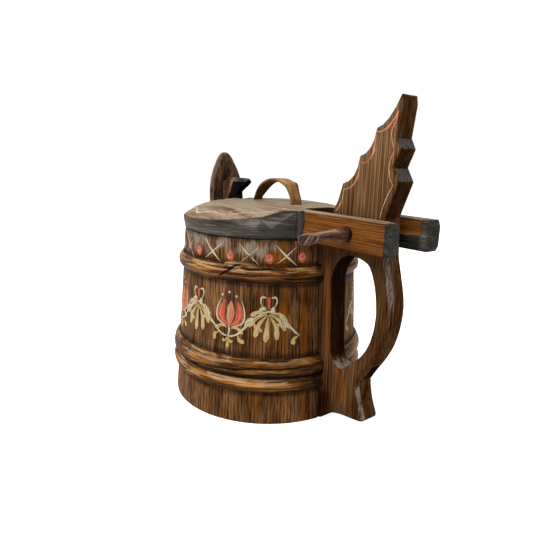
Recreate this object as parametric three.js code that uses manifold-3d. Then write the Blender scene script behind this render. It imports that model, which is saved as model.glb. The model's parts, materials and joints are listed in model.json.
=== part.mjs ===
// Staved wooden tankard with a forked, peg-hinged lid.
// Millimetres, +Z up. The vessel's axis is worked in first; +X points to the handle, -Y to the peg's grip end.
import * as THREE from 'three';
import { mergeVertices } from 'three/addons/utils/BufferGeometryUtils.js';
import Module from 'manifold-3d';

const wasm = await Module();
wasm.setup();

// Vessel wall
const rimHeight = 167;
const baseRadius = 94.8;
const rimRadius = 84;
const wallThickness = 9.5;
const jointGap = 0.3;
const chimeBevel = 3;

// Bottom board in its groove
const bottomBoardLift = 10;
const bottomBoardThickness = 10;
const grooveDepth = 3;

// Staves on each side: the two broad ones next to the handle end at these angles, the rest share what is left
const broadStaveJoints = [37, 62.5];
const evenStaveCount = 4;
const latchShoulder = 1.2;
const staveSteps = 4;

// Split-sapling hoops: width up the wall, thickness off the wall, and where the round is fullest (-1 low, 1 high)
const upperHoopDrop = 30;
const lowerHoopLift = 30.9;
const lowerHoopSpace = 0.7;
const upperHoop = { width: 15, thickness: 4.6, fullest: -0.1 };
const lowerHoopTop = { width: 18.4, thickness: 5.4, fullest: -0.35 };
const lowerHoopFoot = { width: 12.8, thickness: 4.8, fullest: 0 };
const hoopSteps = 60;
const hoopRoundSteps = 6;
const hoopChannelPlay = 0.5;

// Lap of each hoop: the outer end thins out along the band, and the upper hoop's end rises beside it
const lapRise = 1;
const lapStart = -88;
const lapEnd = -56;
const tongueStart = -64;
const tongueEnd = -36;
const tongueWidth = 6.5;

// Handle board: wall bar, foot, grip and comb in one plank
const boardThickness = 19.2;
const edgeEase = 1.1;
const gripChamfer = 4;
const footChamfer = 2.4;
const gripReach = 72;
const wallBarWidth = 13.6;
const fingerHoleDrop = 8.3;
const fingerHoleFloor = 58;
const footToeReach = 53;
const footToeLift = 19.5;
const footNeckHeight = 51.5;
const combHeight = 88.6;

// Hinge peg
const hingeSetback = 41.5;
const hingeRise = 12.7;
const pegRadius = 5;
const pegPlay = 0.3;
const pegGripLength = 46;
const pegFarStub = 3.5;
const pegSides = 16;

// Lid plank
const lidThickness = 25;
const lidOverhang = 1.7;
const lidEdgeThickness = 11;
const lidCrownRadius = 32;
const lidFallPower = 3;
const lidEdgeRound = 1;
const lidEdgeUndercut = 1.4;
const lidNeckAngles = [28, 42];
const lidNeckPower = 4.4;
const forkGapHalf = 17.1;
const armWidth = 15.1;
const armTail = 40.2;
const armEndChamfer = 4;
const armEdgeEase = 1.3;
const forkDepth = 16;

// Latch stave with its paddle and nose
const paddleHalfWidth = 21;
const paddleThickness = 8;
const paddleHeight = 71.8;
const paddleLean = 7;
const noseWidth = 8.4;
const noseFlare = 5;
const noseReach = 42;
const noseRise = 45.8;
const noseOverhang = 19;
const notchPlay = 2;

// Bent strap grip on the lid
const strapCrownWidth = 15;
const strapFrontWidth = 10;
const strapRearWidth = 12.5;
const strapThickness = 2.8;
const strapRise = 22.6;
const strapFrontX = -25;
const strapRearX = 36.5;
const strapSide = 2.2;
const strapSteps = 28;
const wedgeThickness = 2.6;
const wedgeLength = 13;
const mortisePlay = 0.3;

// Values that follow from the sizes above
const lidUnderside = rimHeight + jointGap;
const lidTop = lidUnderside + lidThickness;
const lidRadius = rimRadius + lidOverhang;
const hingeX = baseRadius + hingeSetback;
const hingeZ = lidUnderside + hingeRise;
const armEndX = hingeX + armTail;
const forkOuter = forkGapHalf + armWidth;
const boardHalf = boardThickness / 2;
const lowerFootMiddle = lowerHoopLift + lowerHoopFoot.width / 2;
const lowerTopMiddle = lowerHoopLift + lowerHoopFoot.width + lowerHoopSpace + lowerHoopTop.width / 2;
const hoopBands = {
  lower_hoop_foot: { ...lowerHoopFoot, height: lowerFootMiddle },
  lower_hoop_top: { ...lowerHoopTop, height: lowerTopMiddle },
  upper_hoop: { ...upperHoop, height: rimHeight - upperHoopDrop },
};
const latchHalfAngle = THREE.MathUtils.radToDeg(
  Math.atan2(paddleHalfWidth + latchShoulder, rimRadius - wallThickness),
);

// Outer radius of the tapering wall at a height
function wallRadius(z) {
  return baseRadius + (rimRadius - baseRadius) * z / rimHeight;
}

function degrees(value) {
  return THREE.MathUtils.degToRad(value);
}

function point(x, y) {
  return new THREE.Vector2(x, y);
}

// A closed mesh from an outline (and its holes) placed at a row of layers.
// Each layer is a function that puts an outline point in space.
function stack(rings, layers, closed = false) {
  const flat = rings.flat();
  const count = flat.length;
  const positions = [];
  for (const layer of layers) {
    flat.forEach((p, k) => positions.push(...layer(p, k)));
  }
  const index = [];
  const spans = closed ? layers.length : layers.length - 1;
  for (let s = 0; s < spans; s++) {
    const low = s * count;
    const high = ((s + 1) % layers.length) * count;
    let first = 0;
    for (const ring of rings) {
      for (let k = 0; k < ring.length; k++) {
        const a = first + k;
        const b = first + (k + 1) % ring.length;
        index.push(low + a, high + a, low + b);
        index.push(low + b, high + a, high + b);
      }
      first += ring.length;
    }
  }
  if (!closed) {
    const last = (layers.length - 1) * count;
    const clockwise = THREE.ShapeUtils.isClockWise(rings[0]);
    for (const [a, b, c] of THREE.ShapeUtils.triangulateShape(rings[0], rings.slice(1))) {
      const [second, third] = clockwise ? [c, b] : [b, c];
      index.push(a, second, third);
      index.push(last + a, last + third, last + second);
    }
  }
  const geometry = new THREE.BufferGeometry();
  geometry.setAttribute('position', new THREE.Float32BufferAttribute(positions, 3));
  geometry.setIndex(index);
  return facingOut(geometry);
}

// Turn every face round when the enclosed volume comes out negative
function facingOut(geometry) {
  const position = geometry.getAttribute('position');
  const index = geometry.getIndex();
  const a = new THREE.Vector3();
  const b = new THREE.Vector3();
  const c = new THREE.Vector3();
  let volume = 0;
  for (let k = 0; k < index.count; k += 3) {
    a.fromBufferAttribute(position, index.getX(k));
    b.fromBufferAttribute(position, index.getX(k + 1));
    c.fromBufferAttribute(position, index.getX(k + 2));
    volume += a.dot(b.cross(c));
  }
  if (volume < 0) {
    const turned = Array.from(index.array).reverse();
    geometry.setIndex(turned);
  }
  return geometry;
}

// Solids for cutting and joining
function solid(shape) {
  if (shape instanceof wasm.Manifold) {
    return shape;
  }
  const merged = mergedBare(shape.clone());
  return new wasm.Manifold(new wasm.Mesh({
    numProp: 3,
    vertProperties: new Float32Array(merged.getAttribute('position').array),
    triVerts: new Uint32Array(merged.getIndex().array),
  }));
}

function mergedBare(geometry) {
  geometry.deleteAttribute('normal');
  geometry.deleteAttribute('uv');
  return mergeVertices(geometry, 1e-4);
}

function surface(shape) {
  if (!(shape instanceof wasm.Manifold)) {
    return shape;
  }
  const mesh = shape.getMesh();
  const geometry = new THREE.BufferGeometry();
  geometry.setAttribute('position', new THREE.Float32BufferAttribute(mesh.vertProperties, 3));
  geometry.setIndex(Array.from(mesh.triVerts));
  return geometry;
}

function cutFrom(shape, ...tools) {
  return tools.reduce((body, tool) => body.subtract(solid(tool)), solid(shape));
}

function joined(...shapes) {
  return shapes.slice(1).reduce((body, shape) => body.add(solid(shape)), solid(shapes[0]));
}

function box(x0, x1, y0, y1, z0, z1) {
  const geometry = new THREE.BoxGeometry(x1 - x0, y1 - y0, z1 - z0);
  geometry.translate((x0 + x1) / 2, (y0 + y1) / 2, (z0 + z1) / 2);
  return geometry;
}

// A round cutter along Y whose flats stay clear of the radius
function crossBore(radius, x, z, reach) {
  const circumscribed = radius / Math.cos(Math.PI / pegSides);
  const geometry = new THREE.CylinderGeometry(circumscribed, circumscribed, 2 * reach, pegSides);
  geometry.translate(x, 0, z);
  return geometry;
}

// Turning a radius-height outline about the vessel's axis
function turned(profile, fromAngle, toAngle, steps, closed = false) {
  const layers = [];
  const last = closed ? steps - 1 : steps;
  for (let s = 0; s <= last; s++) {
    const angle = degrees(fromAngle + (toAngle - fromAngle) * s / steps);
    layers.push((p) => [p.x * Math.cos(angle), p.x * Math.sin(angle), p.y]);
  }
  return stack([profile], layers, closed);
}

// Distance by which each outline corner moves into the wood for a bevel of the given width
function inset(ring, widthAt) {
  return ring.map((p, k) => {
    const before = ring[(k + ring.length - 1) % ring.length];
    const after = ring[(k + 1) % ring.length];
    const incoming = point(p.x - before.x, p.y - before.y).normalize();
    const outgoing = point(after.x - p.x, after.y - p.y).normalize();
    const normal = point(-incoming.y - outgoing.y, incoming.x + outgoing.x).normalize();
    const spread = Math.max(0.6, normal.dot(point(-incoming.y, incoming.x)));
    return normal.multiplyScalar(widthAt(p) / spread);
  });
}

// A plank standing in the X-Z plane; each ring has its own rule for the width of its bevel
function bevelledPlank(rings, rules, half) {
  const shifts = rings.map((ring, r) => inset(ring, rules[r])).flat();
  const widths = rings.map((ring, r) => ring.map(rules[r])).flat();
  const face = (side) => (p, k) => [p.x + shifts[k].x, side * half, p.y + shifts[k].y];
  const shoulder = (side) => (p, k) => [p.x, side * (half - widths[k]), p.y];
  return stack(rings, [face(-1), shoulder(-1), shoulder(1), face(1)]);
}

// A rectangle's outline with its corners eased
function easedRectangle(halfX, halfY, ease) {
  return [[1, 1], [-1, 1], [-1, -1], [1, -1]].flatMap(([sx, sy]) => {
    const upright = point(sx * halfX, sy * (halfY - ease));
    const level = point(sx * (halfX - ease), sy * halfY);
    return sx * sy > 0 ? [upright, level] : [level, upright];
  });
}

// The wall's section, shared by every stave, with the groove for the bottom board
function wallProfile() {
  const inner = (z) => wallRadius(z) - wallThickness;
  const grooveLow = bottomBoardLift - jointGap;
  const grooveHigh = bottomBoardLift + bottomBoardThickness + jointGap;
  return [
    point(inner(0) + chimeBevel, 0),
    point(baseRadius, 0),
    point(rimRadius, rimHeight),
    point(inner(rimHeight) + 1, rimHeight),
    point(inner(rimHeight), rimHeight - 1.5),
    point(inner(grooveHigh), grooveHigh),
    point(inner(grooveHigh) + grooveDepth, grooveHigh),
    point(inner(grooveLow) + grooveDepth, grooveLow),
    point(inner(grooveLow), grooveLow),
    point(inner(chimeBevel), chimeBevel),
  ];
}

// Angles of the joints from the handle round to the latch stave
function staveJoints() {
  const lastBroad = broadStaveJoints[broadStaveJoints.length - 1];
  const rest = 180 - latchHalfAngle - lastBroad;
  const even = Array.from({ length: evenStaveCount }, (_, k) => lastBroad + rest * (k + 1) / evenStaveCount);
  return [...broadStaveJoints, ...even];
}

// Stave joints are straight saw-thin gaps; at the handle the stave is planed flat to meet the board
function plainStave(side, fromAngle, toAngle, meetsBoard) {
  const gapAngle = THREE.MathUtils.radToDeg(jointGap / 2 / rimRadius);
  const start = meetsBoard ? 0 : fromAngle + gapAngle;
  const stave = turned(wallProfile(), side * start, side * (toAngle - gapAngle), staveSteps);
  if (!meetsBoard) {
    return stave;
  }
  const reach = baseRadius * 2;
  const clear = boardHalf + jointGap;
  return cutFrom(stave, box(0, reach, -clear, clear, -reach, reach));
}

function bottomBoard() {
  const z0 = bottomBoardLift;
  const z1 = bottomBoardLift + bottomBoardThickness;
  const edge = wallRadius(z1) - wallThickness + grooveDepth - jointGap;
  const profile = [
    point(0, z0),
    point(edge - 2, z0),
    point(edge, z0 + 2),
    point(edge, z1 - 2),
    point(edge - 2, z1),
    point(0, z1),
  ];
  return new THREE.LatheGeometry(profile, hoopSteps);
}

// Half-round hoop section, flat against the tapering wall; grow makes the channel that clears it
function hoopProfile(band, grow = 0) {
  const seat = (z) => (wallRadius(z) + jointGap) / Math.cos(Math.PI / hoopSteps) - grow;
  const half = band.width / 2 + grow;
  const profile = [];
  for (let s = 0; s <= hoopRoundSteps; s++) {
    const up = Math.sin(degrees(-90 + 180 * s / hoopRoundSteps));
    const z = band.height + half * up;
    const fromFullest = (up - band.fullest) / (1 - band.fullest * Math.sign(up - band.fullest));
    const round = Math.max(0.06, 1 - fromFullest ** 2) ** 0.4;
    profile.push(point(seat(z) + (band.thickness + 2 * grow) * round, z));
  }
  profile.push(point(seat(band.height + half), band.height + half));
  profile.push(point(seat(band.height - half), band.height - half));
  return profile;
}

function hoopRing(band, grow = 0) {
  return turned(hoopProfile(band, grow), 0, 360, hoopSteps, true);
}

// The overlapping end of the split sapling, thinning out along the hoop
function hoopLap(band) {
  const steps = 6;
  const layers = [];
  for (let s = 0; s <= steps; s++) {
    const share = s / steps;
    const angle = degrees(lapStart + (lapEnd - lapStart) * share);
    const narrow = 1 - 0.55 * share;
    const rise = 0.15 + lapRise * (1 - share);
    layers.push((p) => {
      const z = band.height + (p.y - band.height) * narrow;
      const out = p.x + rise + wallRadius(z) - wallRadius(p.y);
      return [out * Math.cos(angle), out * Math.sin(angle), z];
    });
  }
  return stack([hoopProfile(band)], layers);
}

// The upper hoop's locked end, a tongue that runs on along the band's top edge
function hoopTongue(band) {
  const root = band.height + band.width / 2 - 2.5;
  const thick = band.thickness;
  const outline = [point(0, 0), point(thick, 0), point(thick, 0.5), point(thick * 0.7, 0.85), point(0, 1)];
  const steps = 6;
  const layers = [];
  for (let s = 0; s <= steps; s++) {
    const share = s / steps;
    const angle = degrees(tongueStart + (tongueEnd - tongueStart) * share);
    const rise = tongueWidth * (1 - 0.75 * share ** 2);
    const slim = 1 - 0.45 * share;
    layers.push((p) => {
      const z = root + rise * p.y;
      const out = (wallRadius(z) + jointGap) / Math.cos(Math.PI / hoopSteps) + p.x * slim;
      return [out * Math.cos(angle), out * Math.sin(angle), z];
    });
  }
  return stack([outline], layers);
}

function hoop(name) {
  const band = hoopBands[name];
  return joined(hoopRing(band), name === 'upper_hoop' ? hoopTongue(band) : hoopLap(band));
}

// Outline of the handle board, seen from the near side: x away from the vessel, z up
function boardOutline() {
  const inner = (z) => wallRadius(z) - wallThickness;
  const grooveLow = bottomBoardLift - jointGap;
  const grooveHigh = bottomBoardLift + bottomBoardThickness + jointGap;
  const out = (dx) => baseRadius + dx;
  const peg = (dx) => hingeX + dx;
  const above = (dz) => lidTop + dz;
  const path = new THREE.Path();
  path.moveTo(inner(0) + chimeBevel, 0);
  path.lineTo(baseRadius, 0);
  // Foot, hollowed underneath
  path.lineTo(out(9.7), 8.6);
  path.quadraticCurveTo(out(15), 13.2, out(25), footToeLift - 4.4);
  path.lineTo(out(footToeReach - 4), footToeLift - 1);
  path.lineTo(out(footToeReach), footToeLift + 0.8);
  path.lineTo(out(footToeReach + 0.2), footToeLift + 3.4);
  path.quadraticCurveTo(out(footToeReach - 7), footToeLift + 15, out(footToeReach - 9.4), footNeckHeight);
  // Grip
  path.splineThru([
    point(out(gripReach - 21.4), footNeckHeight + 11.5),
    point(out(gripReach - 13.2), footNeckHeight + 24),
    point(out(gripReach - 5.4), footNeckHeight + 39.5),
    point(out(gripReach - 1.1), footNeckHeight + 56.5),
    point(out(gripReach), rimHeight - 43.3),
    point(out(gripReach - 2.4), rimHeight - 28.7),
    point(out(gripReach - 9.2), rimHeight - 4.2),
  ]);
  path.lineTo(peg(17.6), above(-9));
  path.lineTo(peg(16.8), above(0.5));
  // Comb, rear edge with its two teeth
  path.lineTo(peg(26.5), above(combHeight - 61));
  path.lineTo(peg(20.2), above(combHeight - 50.9));
  path.lineTo(peg(25.7), above(combHeight - 37.6));
  path.lineTo(peg(21.3), above(combHeight - 29.8));
  path.lineTo(peg(23.8), above(combHeight - 6.6));
  path.lineTo(peg(22.5), above(combHeight));
  // Comb, front edge with three hollows
  path.quadraticCurveTo(peg(12.4), above(combHeight - 20.6), peg(1.9), above(combHeight - 22.6));
  path.quadraticCurveTo(peg(-0.8), above(combHeight - 40.4), peg(-13.2), above(combHeight - 43.1));
  path.quadraticCurveTo(peg(-15.3), above(combHeight - 61.9), peg(-29.9), above(combHeight - 64.9));
  path.quadraticCurveTo(peg(-35.3), above(-2.3), inner(rimHeight) + 1.5, rimHeight);
  path.lineTo(inner(rimHeight), rimHeight - 1.5);
  path.lineTo(inner(grooveHigh), grooveHigh);
  path.lineTo(inner(grooveHigh) + grooveDepth, grooveHigh);
  path.lineTo(inner(grooveLow) + grooveDepth, grooveLow);
  path.lineTo(inner(grooveLow), grooveLow);
  path.lineTo(inner(chimeBevel), chimeBevel);
  return path.getPoints(4);
}

// Finger hole, wound the other way round from the outline
function fingerHole() {
  const bar = (z) => wallRadius(z) + wallBarWidth;
  const top = rimHeight - fingerHoleDrop;
  const rear = baseRadius + gripReach - 15.5;
  const path = new THREE.Path();
  path.moveTo(bar(rimHeight - 43), rimHeight - 43);
  path.quadraticCurveTo(bar(top - 14) - 2, top - 13, bar(top) + 15, top - 1.8);
  path.quadraticCurveTo(rear - 26, top + 2.2, rear - 11.5, top - 4.2);
  path.quadraticCurveTo(rear - 1.6, top - 17, rear, rimHeight - 51.4);
  path.quadraticCurveTo(rear - 0.6, fingerHoleFloor + 32, rear - 13.5, fingerHoleFloor + 17.2);
  path.lineTo(rear - 31, fingerHoleFloor + 0.7);
  path.quadraticCurveTo(rear - 38, fingerHoleFloor - 2.4, rear - 42.5, fingerHoleFloor + 2.3);
  path.quadraticCurveTo(bar(fingerHoleFloor) - 0.6, fingerHoleFloor + 6, bar(fingerHoleFloor + 17), fingerHoleFloor + 17);
  return path.getPoints(4);
}

function handleStave() {
  const rear = baseRadius + gripReach - 30;
  const widthAt = (p) => {
    const behind = p.x > rear;
    if (behind && p.y > footNeckHeight + 1 && p.y < rimHeight) {
      return p.x > rear + 19 || p.y < footNeckHeight + 30 ? gripChamfer : edgeEase;
    }
    return behind && p.y > footToeLift && p.y <= footNeckHeight + 1 ? footChamfer : edgeEase;
  };
  const plank = bevelledPlank([boardOutline(), fingerHole()], [widthAt, () => edgeEase], boardHalf);
  const channels = Object.values(hoopBands).map((band) => hoopRing(band, hoopChannelPlay));
  return cutFrom(plank, ...channels, crossBore(pegRadius + pegPlay, hingeX, hingeZ, boardThickness));
}

// Latch stave: a wall stave that runs on above the rim as a leaning paddle with a nose
function latchStave() {
  const gapAngle = THREE.MathUtils.radToDeg(jointGap / 2 / rimRadius);
  const half = latchHalfAngle - gapAngle;
  const wall = turned(wallProfile(), 180 - half, 180 + half, staveSteps);
  return joined(wall, paddle(), nose());
}

// Middle plane of the paddle, leaning out as it rises from the wall
function paddleMiddle(z) {
  const root = rimRadius - wallThickness / 2;
  return -(root + paddleLean * (z - rimHeight) / paddleHeight);
}

function paddle() {
  const top = rimHeight + paddleHeight;
  const low = rimHeight - 12;
  const path = new THREE.Path();
  path.moveTo(-paddleHalfWidth, low);
  path.lineTo(paddleHalfWidth, low);
  path.lineTo(paddleHalfWidth, top - 46);
  path.quadraticCurveTo(paddleHalfWidth - 1, top - 25, paddleHalfWidth - 9, top - 12.5);
  path.quadraticCurveTo(paddleHalfWidth - 15, top + 0.5, 0, top);
  path.quadraticCurveTo(15 - paddleHalfWidth, top + 0.5, 9 - paddleHalfWidth, top - 12.5);
  path.quadraticCurveTo(1 - paddleHalfWidth, top - 25, -paddleHalfWidth, top - 46);
  const outline = path.getPoints(5);
  const width = paddleThickness * 0.28;
  const shifts = inset(outline, () => width);
  const face = (side) => (p, k) => {
    const z = p.y + shifts[k].y;
    return [paddleMiddle(z) + side * paddleThickness / 2, p.x + shifts[k].x, z];
  };
  const shoulder = (side) => (p) => [paddleMiddle(p.y) + side * (paddleThickness / 2 - width), p.x, p.y];
  return stack([outline], [face(-1), shoulder(-1), shoulder(1), face(1)]);
}

// Where the nose starts and ends, shared with the lid's notch
function noseRoot() {
  return paddleMiddle(rimHeight);
}

function noseTip() {
  return noseRoot() + noseReach;
}

// Half the nose's width, which flares out where it grows from the paddle
function noseHalf(x) {
  const fromRoot = (x - noseRoot() - 3) / 11;
  return noseWidth / 2 + noseFlare * Math.max(0, Math.min(1, 1 - fromRoot)) ** 2;
}

// Nose on the paddle's inner face, reaching over the lid
function nose() {
  const root = noseRoot();
  const tip = noseTip();
  const column = tip - noseOverhang;
  const top = rimHeight + noseRise;
  const outline = [
    point(root - 2, rimHeight - 9),
    point(root + 5.5, rimHeight - 9),
    point(root + 10, rimHeight),
    point(column, rimHeight + 9),
    point(column, top - 17.5),
    point(column + 2.5, top - 14.5),
    point(tip - 7, top - 9),
    point(tip - 1.2, top - 5),
    point(tip, top - 2.6),
    point(tip - 1.6, top - 0.3),
    point(tip - 5, top),
    point(root + 14, top),
    point(root + 9, top),
    point(root + 6, top),
    point(root - 2, top),
  ];
  const thin = inset(outline, () => 1);
  const side = (sign) => (p) => [p.x, sign * noseHalf(p.x) * 0.75, p.y];
  const edge = (sign) => (p, k) => [p.x + thin[k].x, sign * noseHalf(p.x), p.y + thin[k].y];
  return stack([outline], [edge(-1), side(-1), side(1), edge(1)]);
}

// Lid disc: thin at the rim, crowned in the middle, full thickness where the arms leave it
function lidDisc() {
  const shoulder = lidRadius - lidEdgeRound;
  const falls = [0, 0.35, 0.55, 0.7, 0.82, 0.92, 1].map((share) => lidCrownRadius + (shoulder - lidCrownRadius) * share);
  const profile = [
    point(0, lidTop),
    ...falls.map((r) => point(r, lidTop)),
    point(lidRadius, lidTop - lidEdgeRound),
    point(lidRadius - lidEdgeUndercut, lidUnderside),
    point(0, lidUnderside),
  ];
  const geometry = new THREE.LatheGeometry(profile.reverse(), hoopSteps);
  geometry.rotateX(Math.PI / 2);
  const position = geometry.getAttribute('position');
  for (let k = 0; k < position.count; k++) {
    const x = position.getX(k);
    const y = position.getY(k);
    const z = position.getZ(k);
    if (z > lidUnderside + 1) {
      position.setZ(k, z - lidFall(x, y));
    }
  }
  return facingOut(mergedBare(geometry));
}

// How far the lid's top has fallen from full thickness at a place
function lidFall(x, y) {
  const r = Math.hypot(x, y);
  if (r <= lidCrownRadius) {
    return 0;
  }
  const towardHandle = (1 + x / r) / 2;
  const [neckStart, neckEnd] = lidNeckAngles.map(degrees);
  const pastNeck = THREE.MathUtils.smoothstep(Math.acos(x / r), neckStart, neckEnd);
  const atEdge = (lidThickness - lidEdgeThickness) * (1 - towardHandle ** lidNeckPower) * pastNeck;
  return atEdge * ((r - lidCrownRadius) / (lidRadius - lidCrownRadius)) ** lidFallPower;
}

// One arm of the fork, eased along its edges and chamfered at its tail
function arm(side) {
  const inner = forkGapHalf;
  const outer = forkOuter;
  const middleY = side * (inner + outer) / 2;
  const middleZ = (lidUnderside + lidTop) / 2;
  const halfY = armWidth / 2;
  const halfZ = lidThickness / 2;
  const at = (x, cut) => (p) => {
    const ky = (halfY - cut) / halfY;
    const kz = (halfZ - cut) / halfZ;
    return [x, middleY + p.x * ky, middleZ + p.y * kz];
  };
  const layers = [at(lidRadius - 28, 0), at(armEndX - armEndChamfer, 0), at(armEndX, armEndChamfer)];
  return stack([easedRectangle(halfY, halfZ, armEdgeEase)], layers);
}

// The strap's centre line: up out of the front mortise, over, and down into the rear one
function strapCurve() {
  const top = lidTop + strapRise - strapThickness / 2;
  const span = strapRearX - strapFrontX;
  return new THREE.CatmullRomCurve3([
    new THREE.Vector3(strapFrontX, 0, lidUnderside + 1),
    new THREE.Vector3(strapFrontX, 0, lidTop - 3),
    new THREE.Vector3(strapFrontX, 0, lidTop + 0.8),
    new THREE.Vector3(strapFrontX + 0.055 * span, 0, lidTop + strapRise * 0.25),
    new THREE.Vector3(strapFrontX + 0.215 * span, 0, lidTop + strapRise * 0.67),
    new THREE.Vector3(strapFrontX + 0.42 * span, 0, top - 0.5),
    new THREE.Vector3(strapFrontX + 0.68 * span, 0, top),
    new THREE.Vector3(strapFrontX + 0.85 * span, 0, lidTop + strapRise * 0.73),
    new THREE.Vector3(strapFrontX + 0.965 * span, 0, lidTop + strapRise * 0.3),
    new THREE.Vector3(strapRearX, 0, lidTop + 0.8),
    new THREE.Vector3(strapRearX, 0, lidTop - 3),
    new THREE.Vector3(strapRearX, 0, lidUnderside + 1),
  ], false, 'centripetal');
}

// Half the strap's width at a place on its centre line: widest over the crown, slimmer in the mortises
function strapHalfWidth(place) {
  const legWidth = place.x < (strapFrontX + strapRearX) / 2 ? strapFrontWidth : strapRearWidth;
  const risen = THREE.MathUtils.smoothstep(place.z, lidTop, lidTop + strapRise * 0.7);
  return (legWidth + (strapCrownWidth - legWidth) * risen) / 2;
}

function lidStrap() {
  const curve = strapCurve();
  const ease = 0.7;
  const crownHalf = strapCrownWidth / 2;
  const outline = easedRectangle(crownHalf, strapThickness / 2, ease);
  const layers = [];
  for (let s = 0; s <= strapSteps; s++) {
    const place = curve.getPointAt(s / strapSteps);
    const along = curve.getTangentAt(s / strapSteps);
    const slimming = crownHalf - strapHalfWidth(place);
    layers.push((p) => {
      const across = p.x - Math.sign(p.x) * slimming;
      return [place.x - along.z * p.y, strapSide + across, place.z + along.x * p.y];
    });
  }
  return stack([outline], layers);
}

// A wedge driven up beside each strap leg, on the side away from the grip
function strapWedge(atRear) {
  const leg = atRear ? strapRearX : strapFrontX;
  const outward = atRear ? 1 : -1;
  const near = leg + outward * (strapThickness / 2 + mortisePlay);
  const far = near + outward * wedgeThickness;
  const thin = near + outward * wedgeThickness * 0.35;
  const low = lidUnderside + 0.6;
  const outline = [
    point(near, low),
    point(far, low),
    point(thin, low + wedgeLength),
    point(near, low + wedgeLength),
  ];
  const half = (atRear ? strapRearWidth : strapFrontWidth) / 2 - 0.5;
  return stack([outline], [(p) => [p.x, strapSide - half, p.y], (p) => [p.x, strapSide + half, p.y]]);
}

function mortise(atRear) {
  const leg = atRear ? strapRearX : strapFrontX;
  const outward = atRear ? 1 : -1;
  const clear = strapThickness / 2 + mortisePlay;
  const insideX = leg - outward * clear;
  const topX = leg + outward * clear;
  const lowX = topX + outward * (wedgeThickness + mortisePlay);
  const low = lidUnderside - 2;
  const high = lidTop + 2;
  const neck = lidUnderside + wedgeLength + 2;
  const outline = [
    point(insideX, low),
    point(lowX, low),
    point(lowX, neck),
    point(topX, neck),
    point(topX, high),
    point(insideX, high),
  ];
  const half = (atRear ? strapRearWidth : strapFrontWidth) / 2 + mortisePlay;
  return stack([outline], [(p) => [p.x, strapSide - half, p.y], (p) => [p.x, strapSide + half, p.y]]);
}

// Room for the paddle and its nose in the lid's front edge
function lidNotch() {
  const paddleFace = paddleMiddle(rimHeight) + paddleThickness / 2 + notchPlay;
  const end = noseTip() + notchPlay;
  const wide = paddleHalfWidth + notchPlay;
  const slim = noseHalf(paddleFace) + notchPlay;
  const corner = 1.5;
  const outline = [
    point(-2 * lidRadius, -wide),
    point(paddleFace, -wide),
    point(paddleFace, -slim),
    point(end - corner, -slim),
    point(end, corner - slim),
    point(end, slim - corner),
    point(end - corner, slim),
    point(paddleFace, slim),
    point(paddleFace, wide),
    point(-2 * lidRadius, wide),
  ];
  const low = lidUnderside - 5;
  const high = lidTop + 5;
  return stack([outline], [(p) => [p.x, p.y, low], (p) => [p.x, p.y, high]]);
}

// The fork's slot round the handle board, rounded at its blind end
function forkSlot() {
  const blind = rimRadius - forkDepth;
  const half = forkGapHalf;
  const path = new THREE.Path();
  path.moveTo(armEndX + 5, -half);
  path.lineTo(armEndX + 5, half);
  path.lineTo(blind + 7, half);
  path.quadraticCurveTo(blind, half - 1, blind, half - 8);
  path.lineTo(blind, 8 - half);
  path.quadraticCurveTo(blind, 1 - half, blind + 7, -half);
  const outline = path.getPoints(3);
  const low = lidUnderside - 5;
  const high = lidTop + 5;
  return stack([outline], [(p) => [p.x, p.y, low], (p) => [p.x, p.y, high]]);
}

function lidBoard() {
  const blank = joined(lidDisc(), arm(-1), arm(1));
  const bore = crossBore(pegRadius + pegPlay, hingeX, hingeZ, 2 * forkOuter);
  return cutFrom(blank, forkSlot(), lidNotch(), mortise(false), mortise(true), bore);
}

// Whittled peg: round where it turns, then flattened to a spatula that the fingers pull
function hingePeg() {
  const ring = [];
  for (let k = 0; k < pegSides; k++) {
    const angle = 2 * Math.PI * k / pegSides;
    ring.push(point(Math.cos(angle), Math.sin(angle)));
  }
  const face = -forkOuter;
  const at = (y, rx, rz, dx = 0, dz = 0) => (p) => [hingeX + dx + p.x * rx, y, hingeZ + dz + p.y * rz];
  const layers = [
    at(forkOuter + pegFarStub, pegRadius - 1, pegRadius - 1),
    at(forkOuter + pegFarStub - 1.2, pegRadius, pegRadius),
    at(face, pegRadius, pegRadius),
    at(face - 1, pegRadius + 0.6, pegRadius + 0.5),
    at(face - 9, pegRadius + 0.4, pegRadius - 0.2, 0, 0.2),
    at(face - pegGripLength * 0.45, pegRadius - 1.2, pegRadius - 1, -0.5, -0.1),
    at(face - pegGripLength * 0.68, pegRadius - 1, pegRadius - 0.5, -0.8, -0.8),
    at(face - pegGripLength * 0.85, pegRadius - 0.8, pegRadius - 0.1, -1, -1.4),
    at(face - pegGripLength, pegRadius - 2.6, pegRadius - 1.8, -1.4, -1.2),
  ];
  return stack([ring], layers.reverse());
}

// Stains, as seen on each piece
function stain(colour, roughness) {
  return new THREE.MeshStandardMaterial({ color: colour, roughness, metalness: 0 });
}

const staveStain = stain(0x4a2c19, 0.55);
const handleStain = stain(0x5c371c, 0.5);
const hoopStain = stain(0x7a5426, 0.5);
const lidStain = stain(0x6b5f50, 0.65);
const strapStain = stain(0xa0743c, 0.5);
const pegStain = stain(0x4b3128, 0.5);
const rawPine = stain(0x8a6a45, 0.75);

const tankard = new THREE.Group();

function add(name, shape, material) {
  const mesh = new THREE.Mesh(surface(shape), material);
  mesh.name = name;
  tankard.add(mesh);
}

function addStaves() {
  const joints = staveJoints();
  for (const [label, side] of [['near', -1], ['far', 1]]) {
    joints.forEach((angle, k) => {
      const from = k === 0 ? 0 : joints[k - 1];
      add(`stave_${label}_${k + 1}`, plainStave(side, from, angle, k === 0), staveStain);
    });
  }
}

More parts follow.
